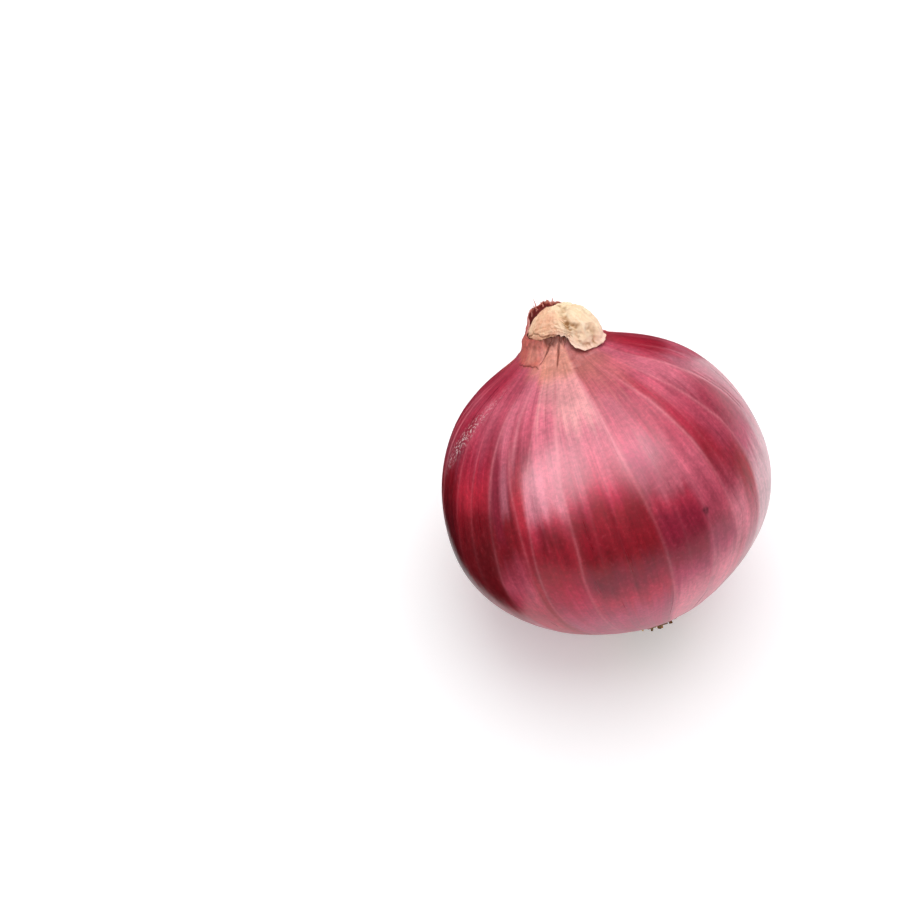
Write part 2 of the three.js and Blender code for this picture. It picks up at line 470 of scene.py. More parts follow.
class Shader:
    """A material's nodes, made a line at a time."""

    def __init__(self, name: str) -> None:
        """Starts a material.

        Args:
            name: The material's name.
        """
        self.material = bpy.data.materials.new(name)
        self.material.use_nodes = True
        self.tree = self.material.node_tree
        self.surface = self.tree.nodes["Principled BSDF"]

    def node(self, kind: str, **settings: object) -> bpy.types.Node:
        """Adds a node.

        Args:
            kind: Its type, by Blender's name.
            settings: Its settings, by name.

        Returns:
            The node.
        """
        made = self.tree.nodes.new(kind)
        for key, value in settings.items():
            setattr(made, key, value)
        return made

    def feed(self, target: Socket, value: object) -> None:
        """Links a socket to a target, or writes a plain value there.

        Args:
            target: The input.
            value: A socket, a number, or a colour or vector.
        """
        if isinstance(value, Socket):
            self.tree.links.new(value, target)
        elif isinstance(value, tuple) and len(target.default_value) == 4:
            target.default_value = (*value, 1.0)
        else:
            target.default_value = value

    def set(self, name: str, value: object) -> None:
        """Feeds one input of the surface."""
        self.feed(self.surface.inputs[name], value)

    def value(self, name: str) -> Socket:
        """A number that the mesh carries."""
        return self.node("ShaderNodeAttribute", attribute_name=name).outputs["Fac"]

    def vector(self, name: str, factors: Rgb) -> Socket:
        """A vector that the mesh carries, with each part multiplied.

        Args:
            name: The vector's name.
            factors: What each part is multiplied by.

        Returns:
            The vector.
        """
        made = self.node("ShaderNodeVectorMath", operation="MULTIPLY")
        self.feed(made.inputs[0], self.node("ShaderNodeAttribute", attribute_name=name).outputs["Vector"])
        made.inputs[1].default_value = factors
        return made.outputs[0]

    def place(self) -> Socket:
        """The point's place in the row frame, in metres."""
        return self.node("ShaderNodeTexCoord").outputs["Object"]

    def noise(self, vector: Socket, scale: float, detail: float = 2.0, rough: float = 0.5) -> Socket:
        """Noise from 0 to 1.

        Args:
            vector: Where it is read.
            scale: Its fineness.
            detail: How many finer layers it has.
            rough: How strong those are.

        Returns:
            The noise.
        """
        made = self.node("ShaderNodeTexNoise")
        self.feed(made.inputs["Vector"], vector)
        made.inputs["Scale"].default_value = scale
        made.inputs["Detail"].default_value = detail
        made.inputs["Roughness"].default_value = rough
        return made.outputs["Fac"]

    def sum(self, operation: str, first: object, second: object, clamp: bool = False) -> Socket:
        """A sum of two numbers.

        Args:
            operation: Blender's name of the sum, such as MULTIPLY.
            first: A socket or a number.
            second: A socket or a number.
            clamp: Whether the result stays from 0 to 1.

        Returns:
            The result.
        """
        made = self.node("ShaderNodeMath", operation=operation, use_clamp=clamp)
        self.feed(made.inputs[0], first)
        self.feed(made.inputs[1], second)
        return made.outputs[0]

    def spread(self, value: Socket, low: float, high: float, bottom: float = 0.0, top: float = 1.0) -> Socket:
        """Spreads low to high smoothly over bottom to top, and holds it there outside.

        Args:
            value: The number to spread.
            low: Where the result is bottom.
            high: Where it is top.
            bottom: The first result.
            top: The last result.

        Returns:
            The result.
        """
        made = self.node("ShaderNodeMapRange", interpolation_type="SMOOTHSTEP")
        self.feed(made.inputs[0], value)
        for socket, number in zip(made.inputs[1:5], (low, high, bottom, top)):
            socket.default_value = number
        return made.outputs[0]

    def mix(self, share: object, first: object, second: object) -> Socket:
        """A colour between two.

        Args:
            share: How much of the second.
            first: A colour or socket.
            second: A colour or socket.

        Returns:
            The mixed colour.
        """
        made = self.node("ShaderNodeMix", data_type="RGBA")
        self.feed(made.inputs[0], share)
        self.feed(made.inputs[6], first)
        self.feed(made.inputs[7], second)
        return made.outputs[2]

    def scale(self, body: Socket, factor: Socket) -> Socket:
        """A colour made lighter or darker.

        Args:
            body: The colour.
            factor: What it is multiplied by.

        Returns:
            The colour.
        """
        made = self.node("ShaderNodeVectorMath", operation="SCALE")
        self.feed(made.inputs[0], body)
        self.feed(made.inputs["Scale"], factor)
        return made.outputs[0]

    def vary(self, body: Socket, noise: Socket, change: float) -> Socket:
        """A colour made lighter and darker by a noise.

        Args:
            body: The colour.
            noise: The noise, from 0 to 1.
            change: How much lighter or darker it gets, as a share.

        Returns:
            The colour.
        """
        return self.scale(body, self.spread(noise, 0.25, 0.75, 1.0 - change, 1.0 + change))

    def relief(self, height: Socket, depth_mm: float, strength: float, under: Socket | None = None) -> Socket:
        """A surface direction with fine relief.

        Args:
            height: The relief, from 0 to 1.
            depth_mm: How deep it is.
            strength: How strongly it shows.
            under: A coarser relief to add it to.

        Returns:
            The direction.
        """
        made = self.node("ShaderNodeBump")
        made.inputs["Strength"].default_value = strength
        made.inputs["Distance"].default_value = depth_mm * MM
        self.feed(made.inputs["Height"], height)
        if under is not None:
            self.feed(made.inputs["Normal"], under)
        return made.outputs["Normal"]


@dataclass(frozen=True)
class SkinFinish:
    """Dry red onion skin, as it's painted: fibres, mottling, pale veins, brown where it has torn, painted
    glints, and painted shade in the collar's hollows.
    """

    pale: Rgb = colour(232, 150, 160)
    vein: Rgb = colour(240, 146, 158)
    dry_pale: Rgb = colour(240, 186, 160)
    cream: Rgb = colour(226, 180, 150)
    # glints: whitish specks on the left shoulder, a painted highlight of light caught on tiny bumps
    glints: Rgb = colour(232, 204, 204)
    spot: Rgb = colour(48, 8, 24)
    # brown and dark also paint shade in the collar's hollows; dark also marks the splits.
    brown: Rgb = colour(132, 56, 36)
    dark: Rgb = colour(112, 38, 4)
    fibres: Rgb = (85.0, 85.0, 2.6)
    streaks: Rgb = (20.0, 20.0, 1.4)
    cloud_scale: float = 210.0
    mottle_scale: float = 1500.0
    glint_scale: float = 2200.0
    cloud_change: float = 0.14
    mottle_change: float = 0.15
    streak_change: float = 0.13
    fibre_change: float = 0.09
    smooth: float = 0.27
    rough: float = 0.35
    dry_roughness: float = 0.32
    specular: float = 0.45

    def material(self) -> bpy.types.Material:
        """The finish as a material.

        Returns:
            The material.
        """
        s = Shader("onion_skin")
        place = s.place()
        dry = s.value("dry")
        fibre = s.noise(s.vector("grain", self.fibres), 1.0, 3.0, 0.6)
        streak = s.noise(s.vector("grain", self.streaks), 1.0, 2.0, 0.5)
        mottle = s.noise(place, self.mottle_scale, 3.0, 0.6)
        cloud = s.noise(place, self.cloud_scale, 3.0, 0.55)
        body = s.node("ShaderNodeAttribute", attribute_name="paint").outputs["Color"]
        body = s.vary(body, cloud, self.cloud_change)
        body = s.vary(body, mottle, self.mottle_change)
        grained = s.vary(s.vary(body, streak, self.streak_change), fibre, self.fibre_change)
        body = s.mix(s.sum("MULTIPLY", dry, 0.75), grained, body)
        body = s.mix(s.spread(mottle, 0.55, 0.8, 0.0, 0.06), body, self.pale)
        veins = s.sum("MULTIPLY", s.value("vein"), s.spread(mottle, 0.3, 0.7, 0.8, 1.05), True)
        body = s.mix(veins, body, s.mix(dry, self.vein, self.dry_pale))
        body = s.mix(s.value("cream"), body, self.cream)
        # Painted glints: whitish specks on the left shoulder, standing in for light caught on tiny bumps.
        glint_specks = s.spread(s.noise(place, self.glint_scale), 0.53, 0.6)
        glints = s.sum("MULTIPLY", s.value("glints"), glint_specks, True)
        body = s.mix(glints, body, self.glints)
        body = s.mix(s.value("spot"), body, self.spot)
        # brown: torn edges and painted shade; dark: the splits and painted shade in the collar's hollows.
        body = s.mix(s.value("brown"), body, self.brown)
        body = s.mix(s.value("dark"), body, self.dark)
        s.set("Base Color", body)
        gloss = s.spread(streak, 0.25, 0.75, self.smooth, self.rough)
        s.set("Roughness", s.sum("ADD", gloss, s.sum("MULTIPLY", dry, self.dry_roughness)))
        s.set("Specular IOR Level", self.specular)
        fine = s.relief(fibre, 0.02, 0.3)
        s.set("Normal", s.relief(mottle, 0.025, 0.3, fine))
        return s.material


@dataclass(frozen=True)
class LeafFinish:
    """Dried leaf: papery, cream to peach, with fibres along it, flecks, brown at its edges and in one fold,
    olive painted shade along its folds and in its cupped hollow, and dark brown painted shade on its inner
    face.
    """

    cream: Rgb = colour(254, 234, 202)
    straw: Rgb = colour(247, 214, 174)
    peach: Rgb = colour(238, 174, 142)
    blush: Rgb = colour(254, 214, 198)
    olive: Rgb = colour(168, 122, 78)
    brown: Rgb = colour(122, 62, 30)
    # dark: painted shade on the hood's inner face
    dark: Rgb = colour(150, 78, 44)
    fibres: Rgb = (13.0, 13.0, 1.2)
    patch_scale: float = 520.0
    fleck_scale: float = 1300.0
    crumb_scale: float = 2200.0
    roughness: float = 0.78
    specular: float = 0.25

    def material(self) -> bpy.types.Material:
        """The finish as a material.

        Returns:
            The material.
        """
        s = Shader("dried_leaf")
        place = s.place()
        fibre = s.noise(s.vector("grain", self.fibres), 1.0, 3.0, 0.6)
        patch = s.noise(place, self.patch_scale, 3.0, 0.6)
        body = s.mix(s.spread(fibre, 0.3, 0.7), self.straw, self.cream)
        warm = s.sum("ADD", s.value("warm"), s.spread(patch, 0.35, 0.7, -0.2, 0.25), True)
        body = s.mix(warm, body, self.peach)
        body = s.mix(s.value("rim"), body, self.blush)
        fleck = s.spread(s.noise(place, self.fleck_scale, 2.0), 0.6, 0.75, 0.0, 0.22)
        body = s.mix(fleck, body, self.olive)
        # fold: olive painted shade along the folds and in the cupped hollow.
        body = s.mix(s.value("fold"), body, self.olive)
        body = s.mix(s.value("brown"), body, self.brown)
        # inside: dark brown painted shade on the hood's inner face.
        body = s.mix(s.value("inside"), body, self.dark)
        s.set("Base Color", body)
        s.set("Roughness", self.roughness)
        s.set("Specular IOR Level", self.specular)
        fine = s.relief(fibre, 0.1, 0.45)
        s.set("Normal", s.relief(s.noise(place, self.crumb_scale, 3.0), 0.05, 0.5, fine))
        return s.material


@dataclass(frozen=True)
class RootFinish:
    """Dry roots and their plate: tan to cream, with rusty bits, and dark brown painted shade where they
    spring, in their hollow ends, on the plate between them and on the outer stubs of their long side.
    """

    cream: Rgb = colour(232, 200, 142)
    tan: Rgb = colour(188, 138, 84)
    rust: Rgb = colour(178, 88, 38)
    dark: Rgb = colour(50, 26, 14)
    patch_scale: float = 620.0
    fleck_scale: float = 1700.0
    crumb_scale: float = 2600.0
    roughness: float = 0.85
    specular: float = 0.2

    def material(self) -> bpy.types.Material:
        """The finish as a material.

        Returns:
            The material.
        """
        s = Shader("dry_roots")
        place = s.place()
        patch = s.noise(place, self.patch_scale, 3.0, 0.6)
        body = s.mix(s.spread(patch, 0.38, 0.62), self.tan, self.cream)
        body = s.mix(s.value("rust"), body, self.rust)
        fleck = s.spread(s.noise(place, self.fleck_scale, 2.0), 0.58, 0.7, 0.0, 0.5)
        body = s.mix(fleck, body, self.dark)
        # shade: dark brown painted shade.
        body = s.mix(s.value("shade"), body, self.dark)
        s.set("Base Color", body)
        s.set("Roughness", self.roughness)
        s.set("Specular IOR Level", self.specular)
        s.set("Normal", s.relief(s.noise(place, self.crumb_scale, 3.0), 0.08, 0.6))
        return s.material


# ---- The skin's marks --------------------------------------------------------------------------------


class Shade(Enum):
    """The skin's colours, with a few that paint shade and light on it."""

    # BLACK_CHERRY: the skin's dark wine, partly painted shade
    BLACK_CHERRY = colour(88, 4, 14)
    WINE = colour(112, 3, 16)
    GARNET = colour(141, 3, 26)
    CRIMSON = colour(154, 4, 34)
    FUCHSIA = colour(180, 14, 60)
    RUBY = colour(158, 24, 46)
    CHERRY = colour(180, 38, 66)
    SCARLET = colour(202, 34, 60)
    PLUM = colour(140, 18, 48)
    MULBERRY = colour(162, 54, 76)
    MAUVE = colour(176, 60, 92)
    ROSE = colour(190, 70, 94)
    PINK = colour(205, 92, 114)
    BLUSH = colour(217, 112, 132)
    # HIGHLIGHT_PINK: a painted highlight
    HIGHLIGHT_PINK = colour(236, 138, 158)
    SHELL = colour(230, 152, 155)
    HAZE = colour(190, 104, 122)
    DUSK = colour(204, 107, 113)
    # PALE_AND_SHEEN: pale skin, partly a painted reflection of the white surroundings
    PALE_AND_SHEEN = colour(210, 158, 168)
    SALMON = colour(219, 141, 121)
    BRICK = colour(199, 95, 80)
    # HOOD_SHADOW: painted shadow of the leaf's folded lobe on the neck
    HOOD_SHADOW = colour(184, 104, 98)
    SHREDS = colour(214, 142, 132)
    # FRINGE: pale, partly the thin skin's own colour, partly painted light shining through it; LINING_SHADE:
    # painted shade behind the leaf
    FRINGE = colour(250, 180, 170)
    LINING_SHADE = colour(156, 20, 32)


def blend(body: Array, shade: Shade, share: Array) -> Array:
    """Moves a colour towards a shade.

    Args:
        body: The colour at each point.
        shade: The shade.
        share: How much of it each point takes, from 0 to 1.

    Returns:
        The colour at each point.
    """
    return body + share[..., None] * (np.array(shade.value) - body)


@dataclass(frozen=True)
class Vein:
    """A pale line along the skin, through pairs of a level and an angle. It fades out at both ends."""

    line: Line
    strength: float
    width: float = 0.55


@dataclass(frozen=True)
class Strip:
    """A strip of skin with its own run of colours from root to neck.

    It lies to the right of a line of pairs of a level and an angle, as far as the next strip.
    """

    line: Line
    run: tuple[tuple[float, Shade], ...]
    soft: float = 1.8


@dataclass(frozen=True)
class Wash:
    """A streaky-edged wash of colour, between two angles and two places along the skin."""

    left: float
    right: float
    low: float
    high: float
    shade: Shade
    amount: float = 0.85
    soft: float = 2.5
    fade: float = 0.07


@dataclass
class SkinMarks:
    """What is painted on the skin, in its own place round the bulb and along it.

    The lines of veins, strips and creases are pairs of a level and an angle. Those of the splits are pairs
    of a distance below the neck's rim, in millimetres, and an angle.
    """

    form: BulbForm
    seam: float = -206.0
    grain_lean: float = 14.0
    crease_width: float = 0.5
    spot_angle: float = -77.5
    spot_level: float = -0.04
    spot_radius: float = 0.35
    mm_per_degree: float = 0.5
    mm_per_level: float = 27.0
    body_fray: float = 0.04
    neck_fray: float = 0.4
    band_shade: float = 0.07
    streak_shade: float = 0.05
    # how much darker the creases are painted, as shade
    crease_painted_shade: float = 0.4

    LEFT_LINE = ((-0.5, -157.0), (0.0, -154.5), (0.6, -152.0), (0.9, -149.0))
    HIGHLIGHT_LINE = ((-0.6, -142.0), (0.2, -138.4), (0.4, -137.0), (0.65, -134.0), (0.85, -131.0))
    MIDDLE_LINE = ((-0.8, -126.0), (0.0, -124.0), (0.4, -124.0), (0.7, -122.0), (0.96, -120.0))
    FRONT_LINE = ((-0.8, -93.5), (-0.2, -95.0), (0.2, -97.0), (0.6, -100.5), (0.9, -103.0), (0.97, -104.5))
    RIGHT_LINE = ((-0.75, -62.0), (-0.4, -64.5), (0.0, -67.5), (0.4, -71.5), (0.7, -77.0), (0.92, -84.0))
    FAR_RIGHT_LINE = ((-0.5, -50.0), (0.1, -50.5), (0.4, -54.0), (0.7, -62.0), (0.9, -69.0))
    VEINS = (
        Vein(((-0.6, -177.0), (0.9, -170.0)), 0.25, 0.7),
        Vein(((-0.6, -168.0), (0.9, -160.0)), 0.25, 0.6),
        Vein(LEFT_LINE, 0.5, 0.8),
        Vein(((-0.6, -145.0), (0.0, -142.0), (0.3, -142.5), (0.7, -144.0)), 0.5, 0.6),
        Vein(HIGHLIGHT_LINE, 0.75, 0.6),
        Vein(((0.6, -142.0), (0.8, -141.0), (0.96, -138.5)), 0.6, 1.1),
        Vein(((0.5, -132.0), (0.9, -129.0)), 0.3, 0.5),
        Vein(MIDDLE_LINE, 0.85, 0.75),
        Vein(((-0.5, -117.5), (0.9, -115.0)), 0.15),
        Vein(((-0.6, -109.0), (0.8, -108.0)), 0.15),
        Vein(FRONT_LINE, 0.8, 0.75),
        Vein(((-0.7, -86.0), (0.3, -88.0), (0.8, -93.0)), 0.2),
        Vein(((-0.6, -76.5), (0.0, -77.5), (0.3, -79.0)), 0.4, 0.5),
        Vein(RIGHT_LINE, 0.8, 0.75),
        Vein(((0.0, -63.0), (0.5, -68.0), (0.85, -72.0)), 0.2),
        Vein(FAR_RIGHT_LINE, 0.7, 0.7),
        Vein(((0.4, -37.5), (0.6, -42.0), (0.8, -50.0), (0.93, -58.0), (0.97, -60.5)), 0.75, 0.8),
        Vein(((0.35, -34.0), (0.55, -38.0), (0.72, -43.0)), 0.55, 0.5),
        Vein(((0.3, -22.0), (0.7, -27.0), (0.95, -38.0)), 0.3, 0.8),
    )
    STRIPS = (
        Strip(
            ((0.0, -206.0),),
            (
                (-0.65, Shade.HAZE), (-0.35, Shade.RUBY), (0.1, Shade.WINE), (0.45, Shade.GARNET),
                (0.6, Shade.MULBERRY), (0.75, Shade.CHERRY), (0.9, Shade.ROSE),
            ),
        ),
        # Darkest round the middle: partly the skin's own dark wine, partly painted shade.
        Strip(
            ((0.0, -192.0),),
            (
                (-0.65, Shade.MAUVE), (-0.4, Shade.GARNET), (-0.15, Shade.BLACK_CHERRY),
                (0.15, Shade.BLACK_CHERRY), (0.45, Shade.GARNET), (0.6, Shade.MULBERRY),
                (0.75, Shade.CHERRY), (0.9, Shade.ROSE),
            ),
            5.0,
        ),
        Strip(
            ((-0.6, -178.0), (0.9, -172.0)),
            (
                (-0.75, Shade.HAZE), (-0.5, Shade.RUBY), (-0.3, Shade.WINE), (0.0, Shade.WINE),
                (0.28, Shade.GARNET), (0.45, Shade.SCARLET), (0.6, Shade.CHERRY), (0.75, Shade.ROSE),
                (0.9, Shade.PINK),
            ),
            3.0,
        ),
        Strip(
            LEFT_LINE,
            (
                (-0.45, Shade.CHERRY), (-0.25, Shade.ROSE), (0.0, Shade.GARNET), (0.2, Shade.GARNET),
                (0.42, Shade.MULBERRY), (0.6, Shade.ROSE), (0.75, Shade.BLUSH),
            ),
        ),
        Strip(
            ((-0.6, -145.0), (0.0, -142.5), (0.3, -143.0), (0.7, -144.5)),
            (
                (-0.4, Shade.CRIMSON), (-0.1, Shade.RUBY), (0.12, Shade.CRIMSON), (0.24, Shade.SCARLET),
                (0.4, Shade.SCARLET), (0.6, Shade.MULBERRY), (0.78, Shade.PINK), (0.9, Shade.BLUSH),
            ),
        ),
        Strip(
            HIGHLIGHT_LINE,
            (
                (-0.6, Shade.MAUVE), (-0.35, Shade.FUCHSIA), (-0.15, Shade.CRIMSON), (0.04, Shade.CRIMSON),
                (0.18, Shade.CHERRY), (0.32, Shade.BLUSH), (0.45, Shade.BLUSH), (0.6, Shade.BLUSH),
                (0.75, Shade.BLUSH), (0.88, Shade.SHELL),
            ),
        ),
        Strip(
            MIDDLE_LINE,
            (
                (-0.62, Shade.MAUVE), (-0.45, Shade.CHERRY), (-0.3, Shade.PLUM), (-0.12, Shade.GARNET),
                (0.06, Shade.CRIMSON), (0.18, Shade.CRIMSON), (0.3, Shade.FUCHSIA), (0.5, Shade.PINK),
                (0.65, Shade.BLUSH), (0.78, Shade.SHELL),
            ),
        ),
        Strip(
            FRONT_LINE,
            (
                (-0.6, Shade.BLUSH), (-0.44, Shade.MAUVE), (-0.28, Shade.PLUM), (0.02, Shade.PLUM),
                (0.12, Shade.CHERRY), (0.26, Shade.MULBERRY), (0.45, Shade.MAUVE), (0.6, Shade.PINK),
                (0.75, Shade.PINK), (0.9, Shade.DUSK),
            ),
        ),
        Strip(
            ((-0.6, -77.0), (0.0, -79.0), (0.4, -83.0), (0.9, -94.0)),
            (
                (-0.45, Shade.BLUSH), (-0.28, Shade.MAUVE), (-0.1, Shade.MULBERRY), (0.08, Shade.ROSE),
                (0.32, Shade.PINK), (0.5, Shade.ROSE), (0.75, Shade.ROSE), (0.9, Shade.DUSK),
            ),
        ),
        Strip(
            RIGHT_LINE,
            (
                (-0.45, Shade.PINK), (-0.3, Shade.BLUSH), (-0.12, Shade.BLUSH), (0.08, Shade.MULBERRY),
                (0.3, Shade.RUBY), (0.6, Shade.CHERRY), (0.75, Shade.CHERRY), (0.92, Shade.DUSK),
            ),
        ),
        Strip(
            ((-0.5, -57.0), (0.0, -59.0), (0.4, -63.0), (0.9, -77.0)),
            (
                (-0.45, Shade.HAZE), (-0.16, Shade.ROSE), (0.0, Shade.CRIMSON), (0.14, Shade.CRIMSON),
                (0.34, Shade.MULBERRY), (0.55, Shade.ROSE), (0.9, Shade.PINK),
            ),
            4.0,
        ),
        # On the right rim, pale low down: partly paler skin, partly a painted reflection of the white
        # surroundings.
        Strip(
            FAR_RIGHT_LINE,
            (
                (-0.3, Shade.PALE_AND_SHEEN), (-0.05, Shade.PALE_AND_SHEEN), (0.2, Shade.MAUVE), (0.4, Shade.MULBERRY),
                (0.6, Shade.MULBERRY), (0.8, Shade.BLUSH),
            ),
        ),
        # On the right rim, pale low down: partly paler skin, partly a painted reflection of the white
        # surroundings.
        Strip(
            ((-0.5, -37.0), (0.4, -37.5), (0.6, -42.0), (0.8, -50.0), (0.93, -58.0)),
            (
                (-0.2, Shade.PALE_AND_SHEEN), (0.1, Shade.PALE_AND_SHEEN), (0.3, Shade.HAZE), (0.75, Shade.HAZE),
                (0.9, Shade.CHERRY),
            ),
            3.0,
        ),
    )
    BODY_WASHES = (
        Wash(-152.0, -148.5, 0.12, 0.62, Shade.PLUM, 0.75, 1.2),
        Wash(-148.0, -145.0, 0.3, 0.62, Shade.HAZE, 0.7, 1.2),
        # A painted highlight, pale pink, high on the left of the front.
        Wash(-138.5, -130.0, 0.27, 0.52, Shade.HIGHLIGHT_PINK, 0.8, 1.5),
        Wash(-135.5, -128.5, 0.02, 0.17, Shade.WINE, 0.6, 2.0),
        Wash(-112.0, -97.0, -0.06, 0.14, Shade.GARNET, 0.4, 5.0),
        # Partly paler skin, partly a painted highlight, on the right of the front.
        Wash(-91.0, -80.0, 0.16, 0.5, Shade.BLUSH, 0.5, 2.5),
        Wash(-90.0, -80.0, -0.34, -0.1, Shade.PLUM, 0.6, 3.0),
    )
    NECK_WASHES = (
        Wash(-215.0, -164.0, 3.4, 13.0, Shade.CHERRY, 0.7, 8.0, 1.5),
        Wash(-166.0, -146.0, 5.2, 13.0, Shade.ROSE, 0.6, 6.0, 1.5),
        Wash(-90.0, -66.0, 8.0, 14.0, Shade.DUSK, 0.6, 7.0, 2.0),
        Wash(-68.0, -44.0, 3.0, 12.0, Shade.PINK, 0.6, 8.0, 1.5),
        Wash(-43.0, 0.0, 2.0, 15.0, Shade.RUBY, 0.85, 6.0, 2.0),
        Wash(0.0, 150.0, -5.0, 8.0, Shade.BRICK, 0.7, 6.0, 1.5),
        # Painted shadow of the leaf's folded lobe, on the neck below it.
        Wash(-90.0, -68.0, 2.0, 9.0, Shade.HOOD_SHADOW, 0.6, 5.0, 1.5),
        Wash(-103.0, -88.0, -1.0, 11.0, Shade.HOOD_SHADOW, 0.8, 2.5, 2.5),
        Wash(-151.0, -128.0, -1.0, 7.2, Shade.SALMON, 0.75, 7.0, 2.0),
        Wash(-136.0, -103.0, -1.0, 9.0, Shade.SALMON, 0.9, 2.5, 2.5),
        Wash(-215.0, -178.0, -5.0, 3.2, Shade.BRICK, 0.85, 5.0, 0.5),
        Wash(-183.0, -160.0, -5.0, 4.3, Shade.BRICK, 0.85, 5.0, 0.5),
        Wash(-165.0, -141.0, -5.0, 5.0, Shade.BRICK, 0.8, 5.0, 0.5),
        Wash(-166.0, -146.0, 0.8, 4.0, Shade.SALMON, 0.6, 5.0, 0.8),
        Wash(-150.0, -124.0, -1.0, 1.7, Shade.BRICK, 0.6, 5.0, 0.8),
    )

    CREASES = (
        ((0.34, -35.0), (0.5, -38.0), (0.62, -41.5), (0.72, -44.5)),
        ((0.32, -32.5), (0.46, -35.0), (0.58, -38.5), (0.66, -41.0)),
    )
    SPLITS = (
        ((-0.6, -113.0), (0.6, -118.0), (1.6, -127.0), (2.8, -134.0), (4.3, -138.0), (5.0, -139.5)),
        ((-0.6, -102.0), (0.8, -105.0), (1.5, -110.0), (2.4, -113.5), (3.7, -116.0), (6.2, -118.5)),
        ((-0.6, -96.0), (0.7, -98.0), (1.6, -101.0), (2.2, -104.0)),
    )

    def creases(self, angle: Array, level: Array) -> Array:
        """How deep the fine creases are.

        Args:
            angle: The angle at each point.
            level: The level.

        Returns:
            Depths from 0 to 1.
        """
        waver = 0.4 * Noise(47, 60).ring(angle, level * 12.0)
        deep = np.zeros_like(level)
        for line in self.CREASES:
            levels, angles = zip(*line)
            starts = ease(level, levels[0] - 0.03, levels[0] + 0.06)
            stops = ease(level, levels[-1] + 0.03, levels[-1] - 0.06)
            off = apart(angle + waver, np.interp(level, levels, angles))
            deep = deep + starts * stops * hill(off, self.crease_width)
        return np.clip(deep, 0.0, 1.0)

    def strewn_veins(self) -> list[Vein]:
        """Veins for the rest of the way round, strewn by chance.

        Returns:
            The veins.
        """
        draw = np.random.default_rng(11)
        veins = []
        angle = -12.0
        while angle < 176.0:
            bend = float(draw.uniform(-4.0, 6.0))
            strength = float(draw.uniform(0.2, 0.85))
            width = float(draw.uniform(0.45, 0.85))
            line = ((-0.8, angle), (0.2, angle + 0.3 * bend), (0.95, angle + bend))
            veins.append(Vein(line, strength, width))
            angle += float(draw.uniform(6.0, 14.0))
        return veins

    def strewn_strips(self) -> list[Strip]:
        """Strips for the rest of the way round, strewn by chance, and the first one again at the seam.

        Returns:
            The strips, in turn.
        """
        draw = np.random.default_rng(51)
        root = (Shade.HAZE, Shade.MAUVE, Shade.PINK)
        dark = (Shade.GARNET, Shade.CRIMSON, Shade.PLUM, Shade.RUBY)
        crown = (Shade.ROSE, Shade.CHERRY, Shade.PINK)
        strips = []
        angle = -22.0
        while angle < 140.0:
            bend = float(draw.uniform(-6.0, 4.0))
            low = float(draw.uniform(-0.35, -0.15))
            high = float(draw.uniform(0.05, 0.45))
            run = (
                (low - 0.2, root[draw.integers(len(root))]),
                (low, dark[draw.integers(len(dark))]),
                (high, dark[draw.integers(len(dark))]),
                (high + 0.2, crown[draw.integers(len(crown))]),
            )
            strips.append(Strip(((-0.5, angle), (0.3, angle), (0.95, angle + bend)), run))
            angle += float(draw.uniform(9.0, 20.0))
        return [*strips, Strip(((0.0, 150.0),), self.STRIPS[0].run, 4.0)]

    def veins(self, angle: Array, level: Array) -> Array:
        """How strongly veins cover each point.

        Args:
            angle: The angle at each point.
            level: The level.

        Returns:
            Strengths, from 0.
        """
        waver = 0.45 * Noise(12, 40).ring(angle, level * 4.0)
        broken = 0.75 + 0.35 * Noise(13, 60).ring(angle, level * 6.0)
        finer = np.sqrt(np.clip(self.form.body_radius(level), 8.0, 40.0) / 15.0)
        total = np.zeros_like(level)
        for vein in (*self.VEINS, *self.strewn_veins()):
            levels, angles = zip(*vein.line)
            off = apart(angle + waver, np.interp(level, levels, angles)) * finer
            low, high = levels[0], levels[-1]
            ends = ease(level, low - 0.15, low + 0.1) * ease(level, high + 0.05, high - 0.12)
            across = 0.8 * hill(off, vein.width) + 0.2 * hill(off, 3 * vein.width)
            total = total + vein.strength * ends * across
        return total * broken

    def strips(self, angle: Array, level: Array) -> Array:
        """The colour of the strips that the skin is divided into.

        Args:
            angle: The angle at each point.
            level: The level.

        Returns:
            The colour at each point.
        """
        fray = 0.05 * Noise(41, 300).ring(angle, level * 1.5)
        frayed = level + fray + 0.05 * Noise(42, 70).ring(angle, level * 3.0)
        side = angle + 0.5 * Noise(46, 90).ring(angle, level * 6.0)
        from_seam = (side - self.seam) % 360.0 + self.seam
        body = np.zeros((*level.shape, 3))
        for strip in (*self.STRIPS, *self.strewn_strips()):
            at_level, shades = zip(*strip.run)
            parts = [np.interp(frayed, at_level, part) for part in zip(*(shade.value for shade in shades))]
            levels, angles = zip(*strip.line)
            right_of = from_seam - np.interp(level, levels, angles)
            share = ease(right_of, -strip.soft, strip.soft)[..., None]
            body = body + share * (np.stack(parts, -1) - body)
        return body

    def wash(self, body: Array, washes: tuple[Wash, ...], angle: Array, along: Array, frayed: float) -> Array:
        """Lays washes over a colour.

        Args:
            body: The colour at each point.
            washes: What is laid, in turn.
            angle: The angle at each point.
            along: The place along the skin, as the washes count it.
            frayed: How far their ends are frayed, in the same unit.

        Returns:
            The colour with the washes.
        """
        fray = Noise(43, 260).ring(angle, along * 0.4) + Noise(44, 60).ring(angle, along * 0.7)
        place = along + frayed * fray
        for wash in washes:
            from_left, from_right = apart(angle, wash.left), apart(angle, wash.right)
            share = wash.amount * ease(from_left, -wash.soft, wash.soft)
            share = share * ease(from_right, wash.soft, -wash.soft)
            share = share * ease(place, wash.low - wash.fade, wash.low + wash.fade)
            share = share * ease(place, wash.high + wash.fade, wash.high - wash.fade)
            body = blend(body, wash.shade, share)
        return body

